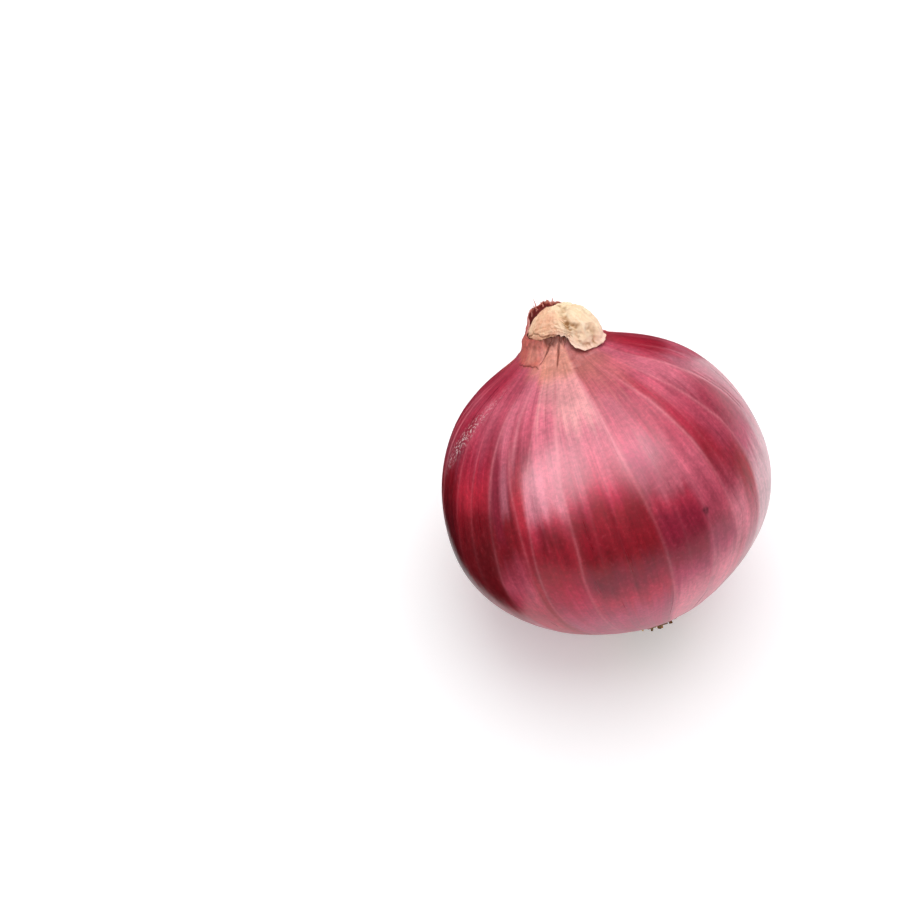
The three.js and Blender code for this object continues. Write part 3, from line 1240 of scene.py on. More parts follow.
    def split_depth(self, angle: Array, down: Array) -> Array:
        """How deep the dark splits down the neck's front are.

        Args:
            angle: The angle at each point.
            down: How far below the neck's rim it is along the skin, in millimetres.

        Returns:
            Depths from 0 to 1.
        """
        deep = np.zeros_like(down)
        for line in self.SPLITS:
            at_down, at_angle = zip(*line)
            last = at_down[-1]
            width = 2.1 - 1.3 * np.clip(down / last, 0, 1)
            reach = ease(down, last + 0.5, last - 0.8)
            deep = deep + hill(apart(angle, np.interp(down, at_down, at_angle)), width) * reach
        return np.clip(deep, 0, 1)

    def paint(self, angle: Array, level: Array, down: Array) -> Array:
        """The skin's colour, before the finish gives it grain.

        Args:
            angle: The angle at each point.
            level: The level.
            down: How far below the neck's rim it is along the skin, in millimetres.

        Returns:
            The colour at each point.
        """
        band = Noise(45, 33).ring(angle, 0.5 + level)
        streak = Noise(43, 240).ring(self.grain_angle(angle, level), level * 2.0)
        body = self.strips(angle, level)
        body = self.wash(body, self.BODY_WASHES, angle, level, self.body_fray)
        body = self.wash(body, self.NECK_WASHES, angle, down, self.neck_fray)
        tone_and_crease_shade = 1.0 + self.band_shade * band + self.streak_shade * streak
        # Creases are painted darker, as shade, on top of their relief.
        tone_and_crease_shade = tone_and_crease_shade - self.crease_painted_shade * self.creases(angle, level)
        return np.clip(body * tone_and_crease_shade[..., None], 0.0, 1.0)

    def grain_angle(self, angle: Array, level: Array) -> Array:
        """The angle that the grain is read at: its lines lean with the veins at the right of the neck."""
        return angle + self.grain_lean * hill(apart(angle, -70.0), 36.0) * np.clip(level, -0.2, 1.0)

    def glints(self, angle: Array, level: Array) -> Array:
        """How strongly painted glints, specks of light caught on tiny bumps, cover the left shoulder, from 0
        to 1.
        """
        middle = -171.0 - 55.0 * (0.82 - level)
        return hill(apart(angle, middle), 4.5) * hill(level - 0.68, 0.16)

    def spot(self, angle: Array, level: Array) -> Array:
        """How strong the small dark ring on the skin is.

        Args:
            angle: The angle at each point.
            level: The level.

        Returns:
            Strengths from 0 to 1.
        """
        across = apart(angle, self.spot_angle) * self.mm_per_degree
        away = np.hypot(across, (level - self.spot_level) * self.mm_per_level)
        return 0.75 * hill(away - self.spot_radius, 0.3)

    def read(self, angle: Array, level: Array, down: Array) -> dict[str, Array]:
        """The numbers that the skin's finish reads.

        Args:
            angle: The angle at each point.
            level: The level.
            down: How far below the neck's rim it is along the skin, in millimetres.

        Returns:
            One entry for each number.
        """
        grain = self.grain_angle(angle, level)
        streak = Noise(43, 240).ring(grain, level * 2.0)
        near_root = np.clip(self.form.body_radius(level) - self.form.plate_radius, 0, None)
        veins = self.veins(angle, level) * (0.28 + 0.72 * ease(level, 0.1, 0.8))
        across, deep = circle(grain)
        return {
            "grain": np.stack([across, deep, level + 0.03 * ease(down, 4.0, -3.0)], -1),
            "paint": self.paint(angle, level, down),
            "vein": np.clip(veins * (1.0 - 0.7 * ease(down, 5.0, 2.0)), 0, 1),
            "dry": ease(down, 10.0, 2.0),
            "cream": np.clip(0.8 * hill(near_root / (2.8 + 1.5 * streak), 1.0) * (level < 0), 0, 1),
            # glints: where the painted specks of light lie.
            "glints": np.clip(self.glints(angle, level), 0, 1),
            "spot": np.clip(self.spot(angle, level), 0, 1),
            "dark": 0.9 * self.split_depth(angle, down),
        }


# ---- The bulb's skin ---------------------------------------------------------------------------------


@dataclass
class Skin:
    """The bulb's skin, from the root plate's edge to where it goes under the collar."""

    ground: Ground
    marks: SkinMarks
    columns: int = 900
    rows: int = 110
    top_radius: float = 7.6
    under_plate: float = 0.5
    tuck: float = 0.5
    tuck_from: float = 8.4
    tuck_to: float = 7.8
    crease_depth: float = 0.12
    vein_height: float = 0.02
    pucker_reach: float = 3.0
    sole: float = 0.25

    ROOT_PUCKER = Ripple(31, 60, 0.3, 6.0)
    shift_from: float = -0.72

    WAVES = (Ripple(32, 14, 0.11, 3.0), Ripple(33, 48, 0.03, 4.0), Ripple(34, 200, 0.01, 5.0))

    def outline(self) -> Array:
        """The level of each row, closer together towards both ends.

        Returns:
            The levels, from the root end up.
        """
        form = self.ground.form
        first = form.level_at(form.plate_radius - self.under_plate, End.ROOT)
        last = form.level_at(self.top_radius, End.CROWN)
        return -np.cos(np.linspace(math.acos(-first), math.acos(-last), self.rows))

    def build(self) -> bpy.types.Object:
        """Builds the skin's mesh.

        Returns:
            The piece.
        """
        form = self.ground.form
        angle, level = np.meshgrid(ring_angles(self.columns), self.outline())
        radius, height = form.body_radius(level), form.body_height(level)
        values = self.marks.read(angle, level, form.below_rim(radius, height))
        flow_r, flow_z = np.gradient(radius, axis=0), np.gradient(height, axis=0)
        size = np.hypot(flow_r, flow_z)
        relief = self.relief(angle, level, radius, values["vein"])
        swell = form.lobe(angle, form.level_of(height))
        points = form.local(angle, radius * swell + relief * flow_z / size, height - relief * flow_r / size)
        points[..., :2] += ease(level, self.shift_from, -1.0)[..., None] * np.array(form.plate_shift)
        placed = self.flatten(self.ground.put(points))
        piece = make_mesh("bulb_skin", placed, grid_faces(self.rows, self.columns), values)
        return dress(piece, Node.BULB, SkinFinish().material())

    def flatten(self, placed: Array) -> Array:
        """Presses the lowest skin flat on the floor, without a hard edge.

        Args:
            placed: Points in the row frame, in metres.

        Returns:
            The same points, none of them below the floor.
        """
        sole = self.sole * MM
        low = placed[..., 2]
        pressed = sole * np.exp(np.clip((low - sole) / sole, -6, 0))
        placed[..., 2] = np.where(low < sole, pressed, low)
        return placed

    def relief(self, angle: Array, level: Array, radius: Array, veins: Array) -> Array:
        """How far the skin stands out of the plain outline, in millimetres.

        Args:
            angle: The angle at each point.
            level: The level.
            radius: Distance from the axis.
            veins: Strength of the veins.

        Returns:
            The height of the relief.
        """
        form = self.ground.form
        near_neck = np.exp(-np.clip(radius - form.neck_radius, 0, None) / self.pucker_reach) * (level > 0)
        near_root = np.exp(-np.clip(radius - form.plate_radius, 0, None) / self.pucker_reach) * (level < 0)
        relief = near_neck * neck_pleats(angle) + near_root * self.ROOT_PUCKER.at(angle, level)
        relief = relief + ripples(self.WAVES, angle, level) + self.vein_height * veins * (1.0 - near_neck)
        relief = relief - self.crease_depth * self.marks.creases(angle, level)
        return relief - self.tuck * ease(radius, self.tuck_from, self.tuck_to) * (level > 0)


def neck_pleats(angle: Array) -> Array:
    """The pleats where the skin is drawn together at the neck, in millimetres."""
    ridges = 1.0 - 2.0 * np.abs(Noise(21, 34).ring(angle, RIM_ROW))
    return 0.1 * ridges + Ripple(22, 90, 0.04).at(angle, RIM_ROW)


# ---- The torn collar ---------------------------------------------------------------------------------


@dataclass
class Collar:
    """The outermost skin, dried and torn: a sleeve round the neck, with a fringe behind the leaf."""

    ground: Ground
    marks: SkinMarks
    columns: int = 720
    outer_rows: int = 100
    inner_rows: int = 30
    thickness: float = 0.14
    inner_height: float = 33.0
    least_radius: float = 8.2
    split_depth: float = 0.3
    rim_raggedness: float = 0.2
    fringe_raggedness: float = 0.9
    hug_middle: float = -178.0
    tear_middle: float = -157.0
    lip_middle: float = -147.0
    mouth_angle: float = -112.0

    TEARS = (Ripple(71, 26, 0.35), Ripple(72, 70, 0.2), Ripple(73, 190, 0.1))
    SHREDS = (Ripple(74, 60, 0.3), Ripple(75, 150, 0.3))
    BLISTERS = (Ripple(76, 46, 0.12, 0.8), Ripple(77, 120, 0.06, 1.8))
    SWAY = Ripple(78, 18, 0.5, 0.5)
    RAGS = Ripple(79, 130, 1.0, 1.3)

    LOWER_EDGE = (
        (-195.0, 8.4), (-186.0, 8.4), (-165.0, 8.9), (-150.0, 9.0), (-142.0, 9.2), (-134.0, 10.0),
        (-120.0, 10.4), (-104.0, 11.4), (-85.0, 11.0), (-60.0, 9.8), (-20.0, 9.2), (30.0, 10.4),
        (80.0, 9.0), (130.0, 9.8),
    )
    RIM = (
        (-190.0, 35.9), (-175.0, 35.7), (-147.0, 35.5), (-129.0, 35.3), (-121.0, 35.25), (-106.0, 35.3),
        (-98.0, 34.8), (-90.0, 33.8), (-50.0, 34.0), (-20.0, 35.2), (10.0, 37.2), (40.0, 38.9),
        (65.0, 39.4), (85.0, 39.4), (105.0, 38.9), (125.0, 38.1), (150.0, 36.8),
    )

    def build(self) -> bpy.types.Object:
        """Builds the collar's mesh.

        Returns:
            The piece.
        """
        form = self.ground.form
        path, run = form.neck_path()
        angle = ring_angles(self.columns)
        along, outside, from_edge, from_rim = self.rows_along(angle)
        ring = np.repeat(angle[None, :], len(along), 0)
        radius, height = np.interp(along, run, path[:, 0]), np.interp(along, run, path[:, 1])
        slope_r, slope_z = np.gradient(path[:, 0], run), np.gradient(path[:, 1], run)
        out_r, out_z = np.interp(along, run, slope_z), np.interp(along, run, -slope_r)
        splits = self.marks.split_depth(ring, -along)
        lift = self.lift(ring, along, height, from_edge, outside)
        lift = lift - self.split_depth * splits * outside * ease(radius, 8.4, 7.6)
        swell = form.lobe(ring, form.level_of(height))
        points = form.local(ring, radius * swell + lift * out_r, height + lift * out_z)

        climb = form.flare_rise * np.exp((form.neck_radius - radius) / form.flare_reach)
        level = form.level_of(height - climb)
        values = self.marks.read(ring, np.clip(level, -1.0, 1.0), -along)
        values.update(self.wear(ring, height, from_edge, from_rim, outside, splits))
        values["paint"] = self.fringe_paint(values["paint"], height, from_rim, outside)
        faces = grid_faces(len(along), self.columns)
        piece = make_mesh("torn_collar", self.ground.put(points), faces, values)
        return dress(piece, Node.BULB, SkinFinish().material())

    def rows_along(self, angle: Array) -> tuple[Array, Array, Array, Array]:
        """Lays out the rows: up the outer face from the torn lower edge to the rim, then down the inner face.

        Args:
            angle: The angle of each column.

        Returns:
            For each point, how far up the skin it is, 1 if it is on the outer face, how far it is from the
            lower edge, and how far below the rim. Distances are in millimetres.
        """
        form = self.ground.form
        path, run = form.neck_path()
        edge = round_the_ring(angle, self.LOWER_EDGE, 5.0) + ripples(self.TEARS, angle, RIM_ROW)
        tall = ease(round_the_ring(angle, self.RIM), 35.2, 38.0)
        ragged = self.rim_raggedness + self.fringe_raggedness * tall
        shred = ragged * ripples(self.SHREDS, angle, RIM_ROW)
        crown = path[:, 0] >= form.neck_radius
        start = np.interp(-np.maximum(edge, self.least_radius), -path[crown, 0], run[crown])
        end = np.interp(round_the_ring(angle, self.RIM, 4.0) + shred, path[:, 1], run)
        foot = np.interp(self.inner_height, path[:, 1], run)
        share = np.linspace(0.0, 1.0, self.outer_rows)[:, None]
        back = np.linspace(0.0, 1.0, self.inner_rows)[:, None]
        along = np.concatenate([start + (end - start) * share, end + (foot - end) * back])
        outside = np.concatenate([np.ones_like(share), np.zeros_like(back)]) + 0.0 * along
        from_edge = np.where(outside > 0, along - start, 9.0)
        return along, outside, from_edge, end - along

    def lift(self, ring: Array, along: Array, height: Array, from_edge: Array, outside: Array) -> Array:
        """How far the collar stands off the skin under it, in millimetres.

        Args:
            ring: The angle at each point.
            along: How far up the skin it is.
            height: Its height.
            from_edge: How far it is from the lower edge.
            outside: 1 on the outer face.

        Returns:
            The distance, less the thickness on the inner face.
        """
        sway = self.SWAY.at(ring, along) * ease(height, 35.6, 38.0)
        hugging = ease(np.abs(apart(ring, self.hug_middle)), 62.0, 30.0)
        sway = sway - hugging * (0.95 * ease(height, 34.2, 35.9) + 0.3 * ease(height, 35.9, 37.5))
        lifted = ease(from_edge / (0.15 + 1.6 * (1.0 - self.torn_low(ring))), 0.0, 1.0)
        blister = ripples(self.BLISTERS, ring, along) * ease(from_edge, 0.0, 1.0)
        lift = -0.1 + lifted * 0.18 + neck_pleats(ring) + blister + sway
        return lift - self.thickness * (1.0 - outside)

    def fringe_paint(self, paint: Array, height: Array, from_rim: Array, outside: Array) -> Array:
        """The collar's colour: its thin fringe painted pale, partly its own colour and partly light painted
        shining through it, and dark red painted shade on its inner face in the gap behind the leaf.

        Args:
            paint: The skin's colour at each point.
            height: The point's height.
            from_rim: How far it is below the rim.
            outside: 1 on the outer face.

        Returns:
            The colour at each point.
        """
        # Painted light shining through the thin fringe, and painted shade on its inner face behind the leaf.
        thin_and_lit_through = (1.0 - outside) * 0.85 + outside * (0.15 + 0.7 * hill(from_rim, 0.5))
        paint = blend(paint, Shade.FRINGE, thin_and_lit_through * ease(height, 35.6, 36.8))
        lining_shade = 0.85 * (1.0 - outside) * ease(from_rim, 0.2, 0.95) * ease(height, 35.0, 36.0)
        return blend(paint, Shade.LINING_SHADE, lining_shade)

    def torn_low(self, ring: Array) -> Array:
        """How plainly the collar's lower edge is torn, from 0 to 1."""
        return ease(np.abs(apart(ring, self.tear_middle)), 26.0, 14.0)

    def wear(
        self, ring: Array, height: Array, from_edge: Array, from_rim: Array, outside: Array, splits: Array
    ) -> dict[str, Array]:
        """The numbers for the collar's brown torn edges, its splits, and the brown and dark painted shade on
        its inner face and in the hollow under the leaf's arch.

        Args:
            ring: The angle at each point.
            height: Its height.
            from_edge: How far it is from the lower edge, in millimetres.
            from_rim: How far it is below the rim.
            outside: 1 on the outer face.
            splits: How deep the splits are.

        Returns:
            One entry for each number.
        """
        brink = 0.55 * hill(from_edge - 0.1, 0.18) * self.torn_low(ring)
        ragged = from_rim + 0.35 * self.RAGS.at(ring, 0.0)
        # mouth: painted shade, brown and dark, in the hollow under the leaf's arch.
        mouth = ease(np.abs(apart(ring, self.mouth_angle)), 26.0, 14.0) * ease(ragged, 2.0, 0.6)
        # inside: painted shade, brown and dark, on the inner face below the fringe.
        inside = (1.0 - outside) * ease(from_rim, 0.2, 1.6) * (1.0 - ease(height, 35.3, 36.6))
        at_left = ease(np.abs(apart(ring, self.lip_middle)), 40.0, 22.0)
        lip = (0.35 + 0.5 * self.RAGS.at(ring, height)) * ease(height, 33.2, 34.6) * at_left
        brown = brink + 0.4 * hill(from_rim, 0.16) + 0.5 * inside + lip + 0.85 * mouth
        dark = 0.9 * splits * outside + 0.6 * inside + 0.85 * mouth**2
        return {"brown": np.clip(brown, 0, 1), "dark": np.clip(dark, 0, 1)}


# ---- The dried leaf end ------------------------------------------------------------------------------


@dataclass(frozen=True)
class Fold:
    """A line folded into the hood, on its plan, with its depth in millimetres, its width on the plan, and how
    strongly it is painted with olive shade.
    """

    line: Line
    depth: float
    width: float
    olive: float = 0.4


@dataclass(frozen=True)
class Wrinkle:
    """Sharp ridges of noise on the hood's plan, with their depth in millimetres and how fine they are."""

    seed: int
    depth: float
    fineness: float
    shift: tuple[float, float]

    def at(self, u: Array, v: Array) -> Array:
        """The ridges' height at places on the plan."""
        noise = Noise(self.seed).plane(u * self.fineness + self.shift[0], v * self.fineness + self.shift[1])
        return self.depth * (1.0 - 2.2 * np.abs(noise))


@dataclass
class DriedLeaf:
    """The withered leaf end: a crumpled hood over the collar's mouth, folded down at its front right."""

    ground: Ground
    columns: int = 540
    outer_rows: int = 140
    inner_rows: int = 30
    apex: tuple[float, float, float] = (0.9, -0.2, 39.1)
    thickness: float = 0.25
    crumple_scale: float = 8.0
    waver: float = 0.009
    cup: tuple[float, float] = (0.21, -0.87)
    cup_radius: float = 0.09
    cup_depth: float = 0.3
    rolled_rim: float = 0.4
    mouth_angle: float = -97.0
    lip_middle: float = -150.0
    lobe_middle: float = -70.0
    lobe_rim_middle: float = -50.0

    TEETH = (Ripple(65, 190, 1.0), Ripple(66, 60, 0.6))
    FIBRES = Ripple(64, 110, 0.05, 3.0)
    TATTER = Ripple(69, 120, 0.5, 20.0)
    WRINKLES = (
        Wrinkle(61, 0.2, 0.42, (3.1, 7.7)),
        Wrinkle(62, 0.13, 1.1, (2.3, 5.9)),
        Wrinkle(68, 0.09, 2.1, (1.7, 4.3)),
    )

    REACH = (
        (-180.0, 5.0), (-165.0, 5.4), (-147.0, 5.75), (-130.0, 6.1), (-120.0, 6.1), (-106.0, 6.3),
        (-99.0, 7.0), (-94.0, 8.0), (-88.0, 8.7), (-78.0, 9.2), (-66.0, 9.3), (-55.0, 9.1), (-44.0, 8.5),
        (-30.0, 7.4), (-15.0, 6.3), (0.0, 5.5), (40.0, 4.7), (90.0, 4.3), (115.0, 4.1), (145.0, 4.1),
        (165.0, 4.5),
    )
    FALL = (
        (-180.0, 35.5), (-160.0, 35.2), (-150.0, 35.1), (-135.0, 35.2), (-120.0, 35.4), (-112.0, 35.5),
        (-104.0, 35.2), (-98.0, 34.4), (-93.0, 33.1), (-88.0, 32.2), (-80.0, 31.7), (-66.0, 31.6),
        (-55.0, 31.9), (-44.0, 32.4), (-30.0, 33.4), (-15.0, 34.8), (0.0, 35.4), (90.0, 35.6),
    )
    ROUNDNESS = (
        (-180.0, 1.2), (-140.0, 1.15), (-110.0, 0.9), (-85.0, 0.8), (-60.0, 0.7), (-20.0, 0.9),
        (20.0, 1.1), (70.0, 1.1), (140.0, 1.2),
    )
    VALLEY = ((0.1, 0.1), (0.09, -0.12), (0.02, -0.35), (-0.02, -0.6), (-0.07, -0.81), (-0.15, -0.97))
    LIP_LINE = ((-1.0, 0.0), (-0.7, -0.35), (-0.64, -0.5), (-0.65, -0.65), (-0.53, -0.78), (-0.36, -0.92))
    FOLDS = (
        Fold(VALLEY, 0.38, 0.035, 0.5),
        Fold(VALLEY, 0.4, 0.16, 0.0),
        Fold(((-0.01, -0.53), (-0.02, -0.68)), 0.3, 0.04, 0.65),
        Fold(((0.06, -0.6), (0.08, -0.68), (0.05, -0.79), (0.05, -0.91)), 0.42, 0.03, 0.5),
        Fold(((0.05, -0.6), (0.13, -0.64)), 0.28, 0.026, 0.5),
        Fold(((0.12, -0.95), (0.27, -0.95), (0.4, -0.86)), 0.33, 0.024, 0.45),
        Fold(((0.4, -0.86), (0.37, -0.79), (0.27, -0.74)), 0.36, 0.045, 0.55),
        Fold(((-0.85, -0.2), (-0.61, -0.31), (-0.38, -0.57), (-0.2, -0.66)), 0.22, 0.03, 0.2),
        Fold(((-0.9, -0.1), (-0.5, -0.12), (-0.2, -0.2)), 0.2, 0.03, 0.15),
        Fold(((-0.6, -0.5), (-0.42, -0.68), (-0.2, -0.8)), 0.16, 0.025, 0.15),
        Fold(((0.5, -0.6), (0.35, -0.3), (0.2, -0.1)), 0.2, 0.06, 0.1),
        Fold(((-0.95, 0.12), (-0.55, 0.32), (-0.1, 0.5)), 0.15, 0.025, 0.35),
        Fold(((-0.9, -0.06), (-0.5, 0.1), (-0.05, 0.3)), 0.13, 0.018, 0.3),
        Fold(((-0.75, -0.26), (-0.4, -0.1), (-0.05, 0.12)), 0.12, 0.016, 0.35),
        Fold(((-0.55, -0.42), (-0.35, -0.3), (-0.12, -0.08)), 0.1, 0.02, 0.1),
        Fold(LIP_LINE, 0.16, 0.016, 0.35),
    )

    def teeth(self, angle: Array) -> Array:
        """How far the torn edge rises and falls, in millimetres, most where the hood starts to fold down.

        Args:
            angle: The angle at each point.

        Returns:
            The rise.
        """
        at_mouth = 0.55 * hill(apart(angle, self.mouth_angle), 10.0)
        away_from_lip = 0.1 * ease(np.abs(apart(angle, self.lip_middle)), 50.0, 30.0)
        return (0.07 + at_mouth + away_from_lip) * ripples(self.TEETH, angle, RIM_ROW)

    def sheet(self, angle: Array, share: Array) -> Array:
        """The smooth hood, before it is crumpled.

        Args:
            angle: The angle round the bulb's axis of the way from the apex to the rim.
            share: How far along that way, from 0 to 1.

        Returns:
            Points in the bulb's own frame.
        """
        reach = round_the_ring(angle, self.REACH, 4.0)
        fall = round_the_ring(angle, self.FALL, 4.0)
        power = round_the_ring(angle, self.ROUNDNESS, 12.0)
        across, deep = circle(angle)
        out = np.sin(share * math.pi / 2)
        drop = np.clip(np.cos(share * math.pi / 2), 0.0, 1.0) ** power
        x = self.apex[0] + (reach * across - self.apex[0]) * out
        y = self.apex[1] + (reach * deep - self.apex[1]) * out
        return np.stack([x, y, fall + (self.apex[2] - fall) * drop + self.teeth(angle) * share**12], -1)

    def crumple(self, angle: Array, share: Array) -> Array:
        """How far the leaf stands out of the smooth hood.

        Args:
            angle: The angle at each point.
            share: How far from the apex to the rim it is, from 0 to 1.

        Returns:
            The distance, in millimetres.
        """
        across, deep = circle(angle)
        plan_u, plan_v = across * share, deep * share
        u, v = plan_u * self.crumple_scale, plan_v * self.crumple_scale
        relief = 0.05 * Noise(63).plane(u * 3.7, v * 3.7)
        relief = relief + 0.07 * Noise(67).plane(u * 0.9 - v * 0.6, u * 1.6 + v * 2.4)
        relief = relief + self.FIBRES.at(angle, share) * ease(share, 0.1, 0.4)
        for wrinkle in self.WRINKLES:
            relief = relief + wrinkle.at(u, v)
        relief = relief * (1.0 - 0.45 * ease(plan_u - 0.25 * plan_v, 0.05, -0.3))
        wavy_u, wavy_v = self.wavy(plan_u, plan_v)
        for fold in self.FOLDS:
            relief = relief - fold.depth * hill(line_distance(wavy_u, wavy_v, fold.line), fold.width)
        on_lobe = ease(np.abs(apart(angle, self.lobe_middle)), 36.0, 20.0)
        rolled = self.rolled_rim * on_lobe * hill(share - 1.0, 0.014)
        return relief - self.cup_depth * self.cupped(plan_u, plan_v) + rolled

    def wavy(self, plan_u: Array, plan_v: Array) -> tuple[Array, Array]:
        """Places on the plan, shifted a little this way and that, so that folds don't run straight.

        Args:
            plan_u: First coordinates on the plan.
            plan_v: Second coordinates.

        Returns:
            Both coordinates, shifted.
        """
        u, v = plan_u * self.crumple_scale, plan_v * self.crumple_scale
        shift_u = Noise(58).plane(u * 1.3, v * 1.3) + 0.6 * Noise(59).plane(u * 3.1, v * 3.1)
        shift_v = Noise(60).plane(u * 1.3, v * 1.3) + 0.6 * Noise(57).plane(u * 3.1, v * 3.1)
        return plan_u + self.waver * shift_u, plan_v + self.waver * shift_v

    def cupped(self, plan_u: Array, plan_v: Array) -> Array:
        """How far inside the cupped hollow of the lobe a place on the plan is, from 0 to 1."""
        return hill(np.hypot((plan_u - self.cup[0]) * 0.75, plan_v - self.cup[1]), self.cup_radius)

    def build(self) -> bpy.types.Object:
        """Builds the leaf's mesh.

        Returns:
            The piece.
        """
        angle = ring_angles(self.columns)
        share = 1.0 - np.linspace(1.0, 0.0, self.outer_rows)[:, None] ** 1.3 + 0.0 * angle
        ring = np.repeat(angle[None, :], self.outer_rows, 0)
        smooth = self.sheet(ring, share)
        outer = smooth - grid_normals(smooth) * self.crumple(ring, share)[..., None]
        pick = np.linspace(self.outer_rows - 1, self.outer_rows * 0.25, self.inner_rows).astype(int)
        inner = outer[pick] + grid_normals(outer)[pick] * self.thickness
        points = np.concatenate([outer, inner])[::-1]
        along = np.concatenate([share, share[pick]])[::-1]
        # The inner face is painted dark brown, as shade under the hood.
        inside = np.concatenate([np.zeros(self.outer_rows), ease(np.arange(self.inner_rows), 0.0, 9.0)])
        ring = np.repeat(angle[None, :], len(points), 0)
        values = {"inside": inside[::-1, None] + 0.0 * along, **self.tints(ring, along)}
        faces = grid_faces(len(points), self.columns)
        piece = make_mesh("dried_leaf_hood", self.ground.put(points), faces, values)
        return dress(piece, Node.LEAF, LeafFinish().material())

    def tints(self, ring: Array, along: Array) -> dict[str, Array]:
        """The numbers that the leaf's finish reads.

        Args:
            ring: The angle at each point.
            along: How far from the apex to the rim it is, from 0 to 1.

        Returns:
            One entry for each number.
        """
        across, deep = circle(ring)
        u, v = across * along, deep * along
        wavy = self.wavy(u, v)
        # Olive painted shade along the folds, and a little in the cupped hollow.
        fold_shade = np.zeros_like(u)
        for fold in self.FOLDS:
            fold_shade = fold_shade + fold.olive * hill(line_distance(*wavy, fold.line), 1.2 * fold.width)
        mottled = 0.8 + 1.1 * Noise(70).plane(u * 24.0, v * 24.0)
        at_lip = ease(np.abs(apart(ring, self.lip_middle)), 44.0, 30.0)
        at_lobe = ease(np.abs(apart(ring, self.lobe_rim_middle)), 75.0, 45.0)
        warm = 0.7 * ease(u - 0.25 * v, 0.1, -0.15) + 0.3 * hill(np.hypot(u + 0.12, v + 0.46), 0.16)
        warm = warm + 0.55 * ease(along, 0.84, 0.97) * at_lip
        edge = along - 1.0
        rim = 0.5 * hill(edge, 0.08) + 0.25 * ease(along, 0.4, 0.8)
        brown = 0.6 * hill(edge, 0.025) + 0.2 * hill(edge, 0.1)
        brown = brown + 0.6 * hill(line_distance(*wavy, self.LIP_LINE), 0.022)
        tatter = 0.75 + self.TATTER.at(ring, along)
        return {
            "grain": np.stack([across, deep, along], -1),
            "warm": np.clip(warm, 0, 1),
            "rim": np.clip(rim, 0, 1) * at_lobe,
            "fold": np.clip(fold_shade * mottled + 0.15 * self.cupped(u, v), 0, 1),
            "brown": np.clip(brown * at_lip * tatter, 0, 1),
        }


# ---- The shreds on the collar's rim ------------------------------------------------------------------


@dataclass(frozen=True)
class Shred:
    """A curled thread of dry skin: where on the rim it springs, how high up, its length and two bends."""

    angle: float
    height: float
    length: float
    turn: float
    curl: float


@dataclass
class Shreds:
    """Dry threads torn out of the collar's rim, behind the leaf."""

    ground: Ground
    sides: int = 6
    steps: int = 14
    thick: float = 0.16

    ALL = (
        Shred(104.0, 38.1, 2.6, -0.3, 0.5),
        Shred(99.0, 38.4, 1.5, 0.7, -0.3),
        Shred(118.0, 37.6, 1.6, -0.6, 0.8),
        Shred(84.0, 38.6, 1.3, -0.2, 1.0),
        Shred(62.0, 38.7, 1.4, -0.9, 0.9),
        Shred(36.0, 38.1, 1.3, -0.8, -0.6),
        Shred(8.0, 36.5, 1.1, 0.5, 0.4),
    )

    def thread(self, shred: Shred) -> Array:
        """One thread's rings of points, in the bulb's own frame.

        Args:
            shred: The thread.

        Returns:
            A ring for each step.
        """
        path, run = self.ground.form.neck_path()
        root = np.interp(shred.height, path[:, 1], run)
        radius = float(np.interp(root, run, path[:, 0])) - 0.15
        across, deep = circle(np.array(shred.angle))
        along = np.linspace(0.0, 1.0, self.steps)
        side = np.cumsum(np.sin(shred.turn + shred.curl * along)) * shred.length / self.steps
        up = np.cumsum(np.cos(shred.turn + shred.curl * along)) * shred.length / self.steps
        x, y = radius * across - side * deep, radius * deep + side * across
        middle = np.stack([x, y, shred.height + up], -1)
        out = np.array([across, deep, 0.0])
        round_angle = np.arange(self.sides) * (2 * math.pi / self.sides)
        thick = (self.thick * (1.0 - 0.8 * along**1.5))[:, None, None]
        flat = np.array([-deep, across, 0.0]) * np.cos(round_angle)[:, None]
        return middle[:, None] + thick * (flat + 0.45 * out * np.sin(round_angle)[:, None])

    def build(self) -> bpy.types.Object:
        """Builds every thread as one piece.

        Returns:
            The piece.
        """
        threads = [self.thread(shred) for shred in self.ALL]
        per_thread = self.steps * self.sides
        faces = [grid_faces(self.steps, self.sides, index * per_thread) for index in range(len(threads))]
        points = np.concatenate([rings.reshape(-1, 3) for rings in threads])
        paint = np.repeat(np.array([Shade.SHREDS.value]), len(points), 0)
        values = {"paint": paint, "dry": np.ones(len(points)), "grain": points * 0.1}
        piece = make_mesh("collar_shreds", self.ground.put(points), np.concatenate(faces), values)
        return dress(piece, Node.BULB, SkinFinish().material())


# ---- The root plate ----------------------------------------------------------------------------------


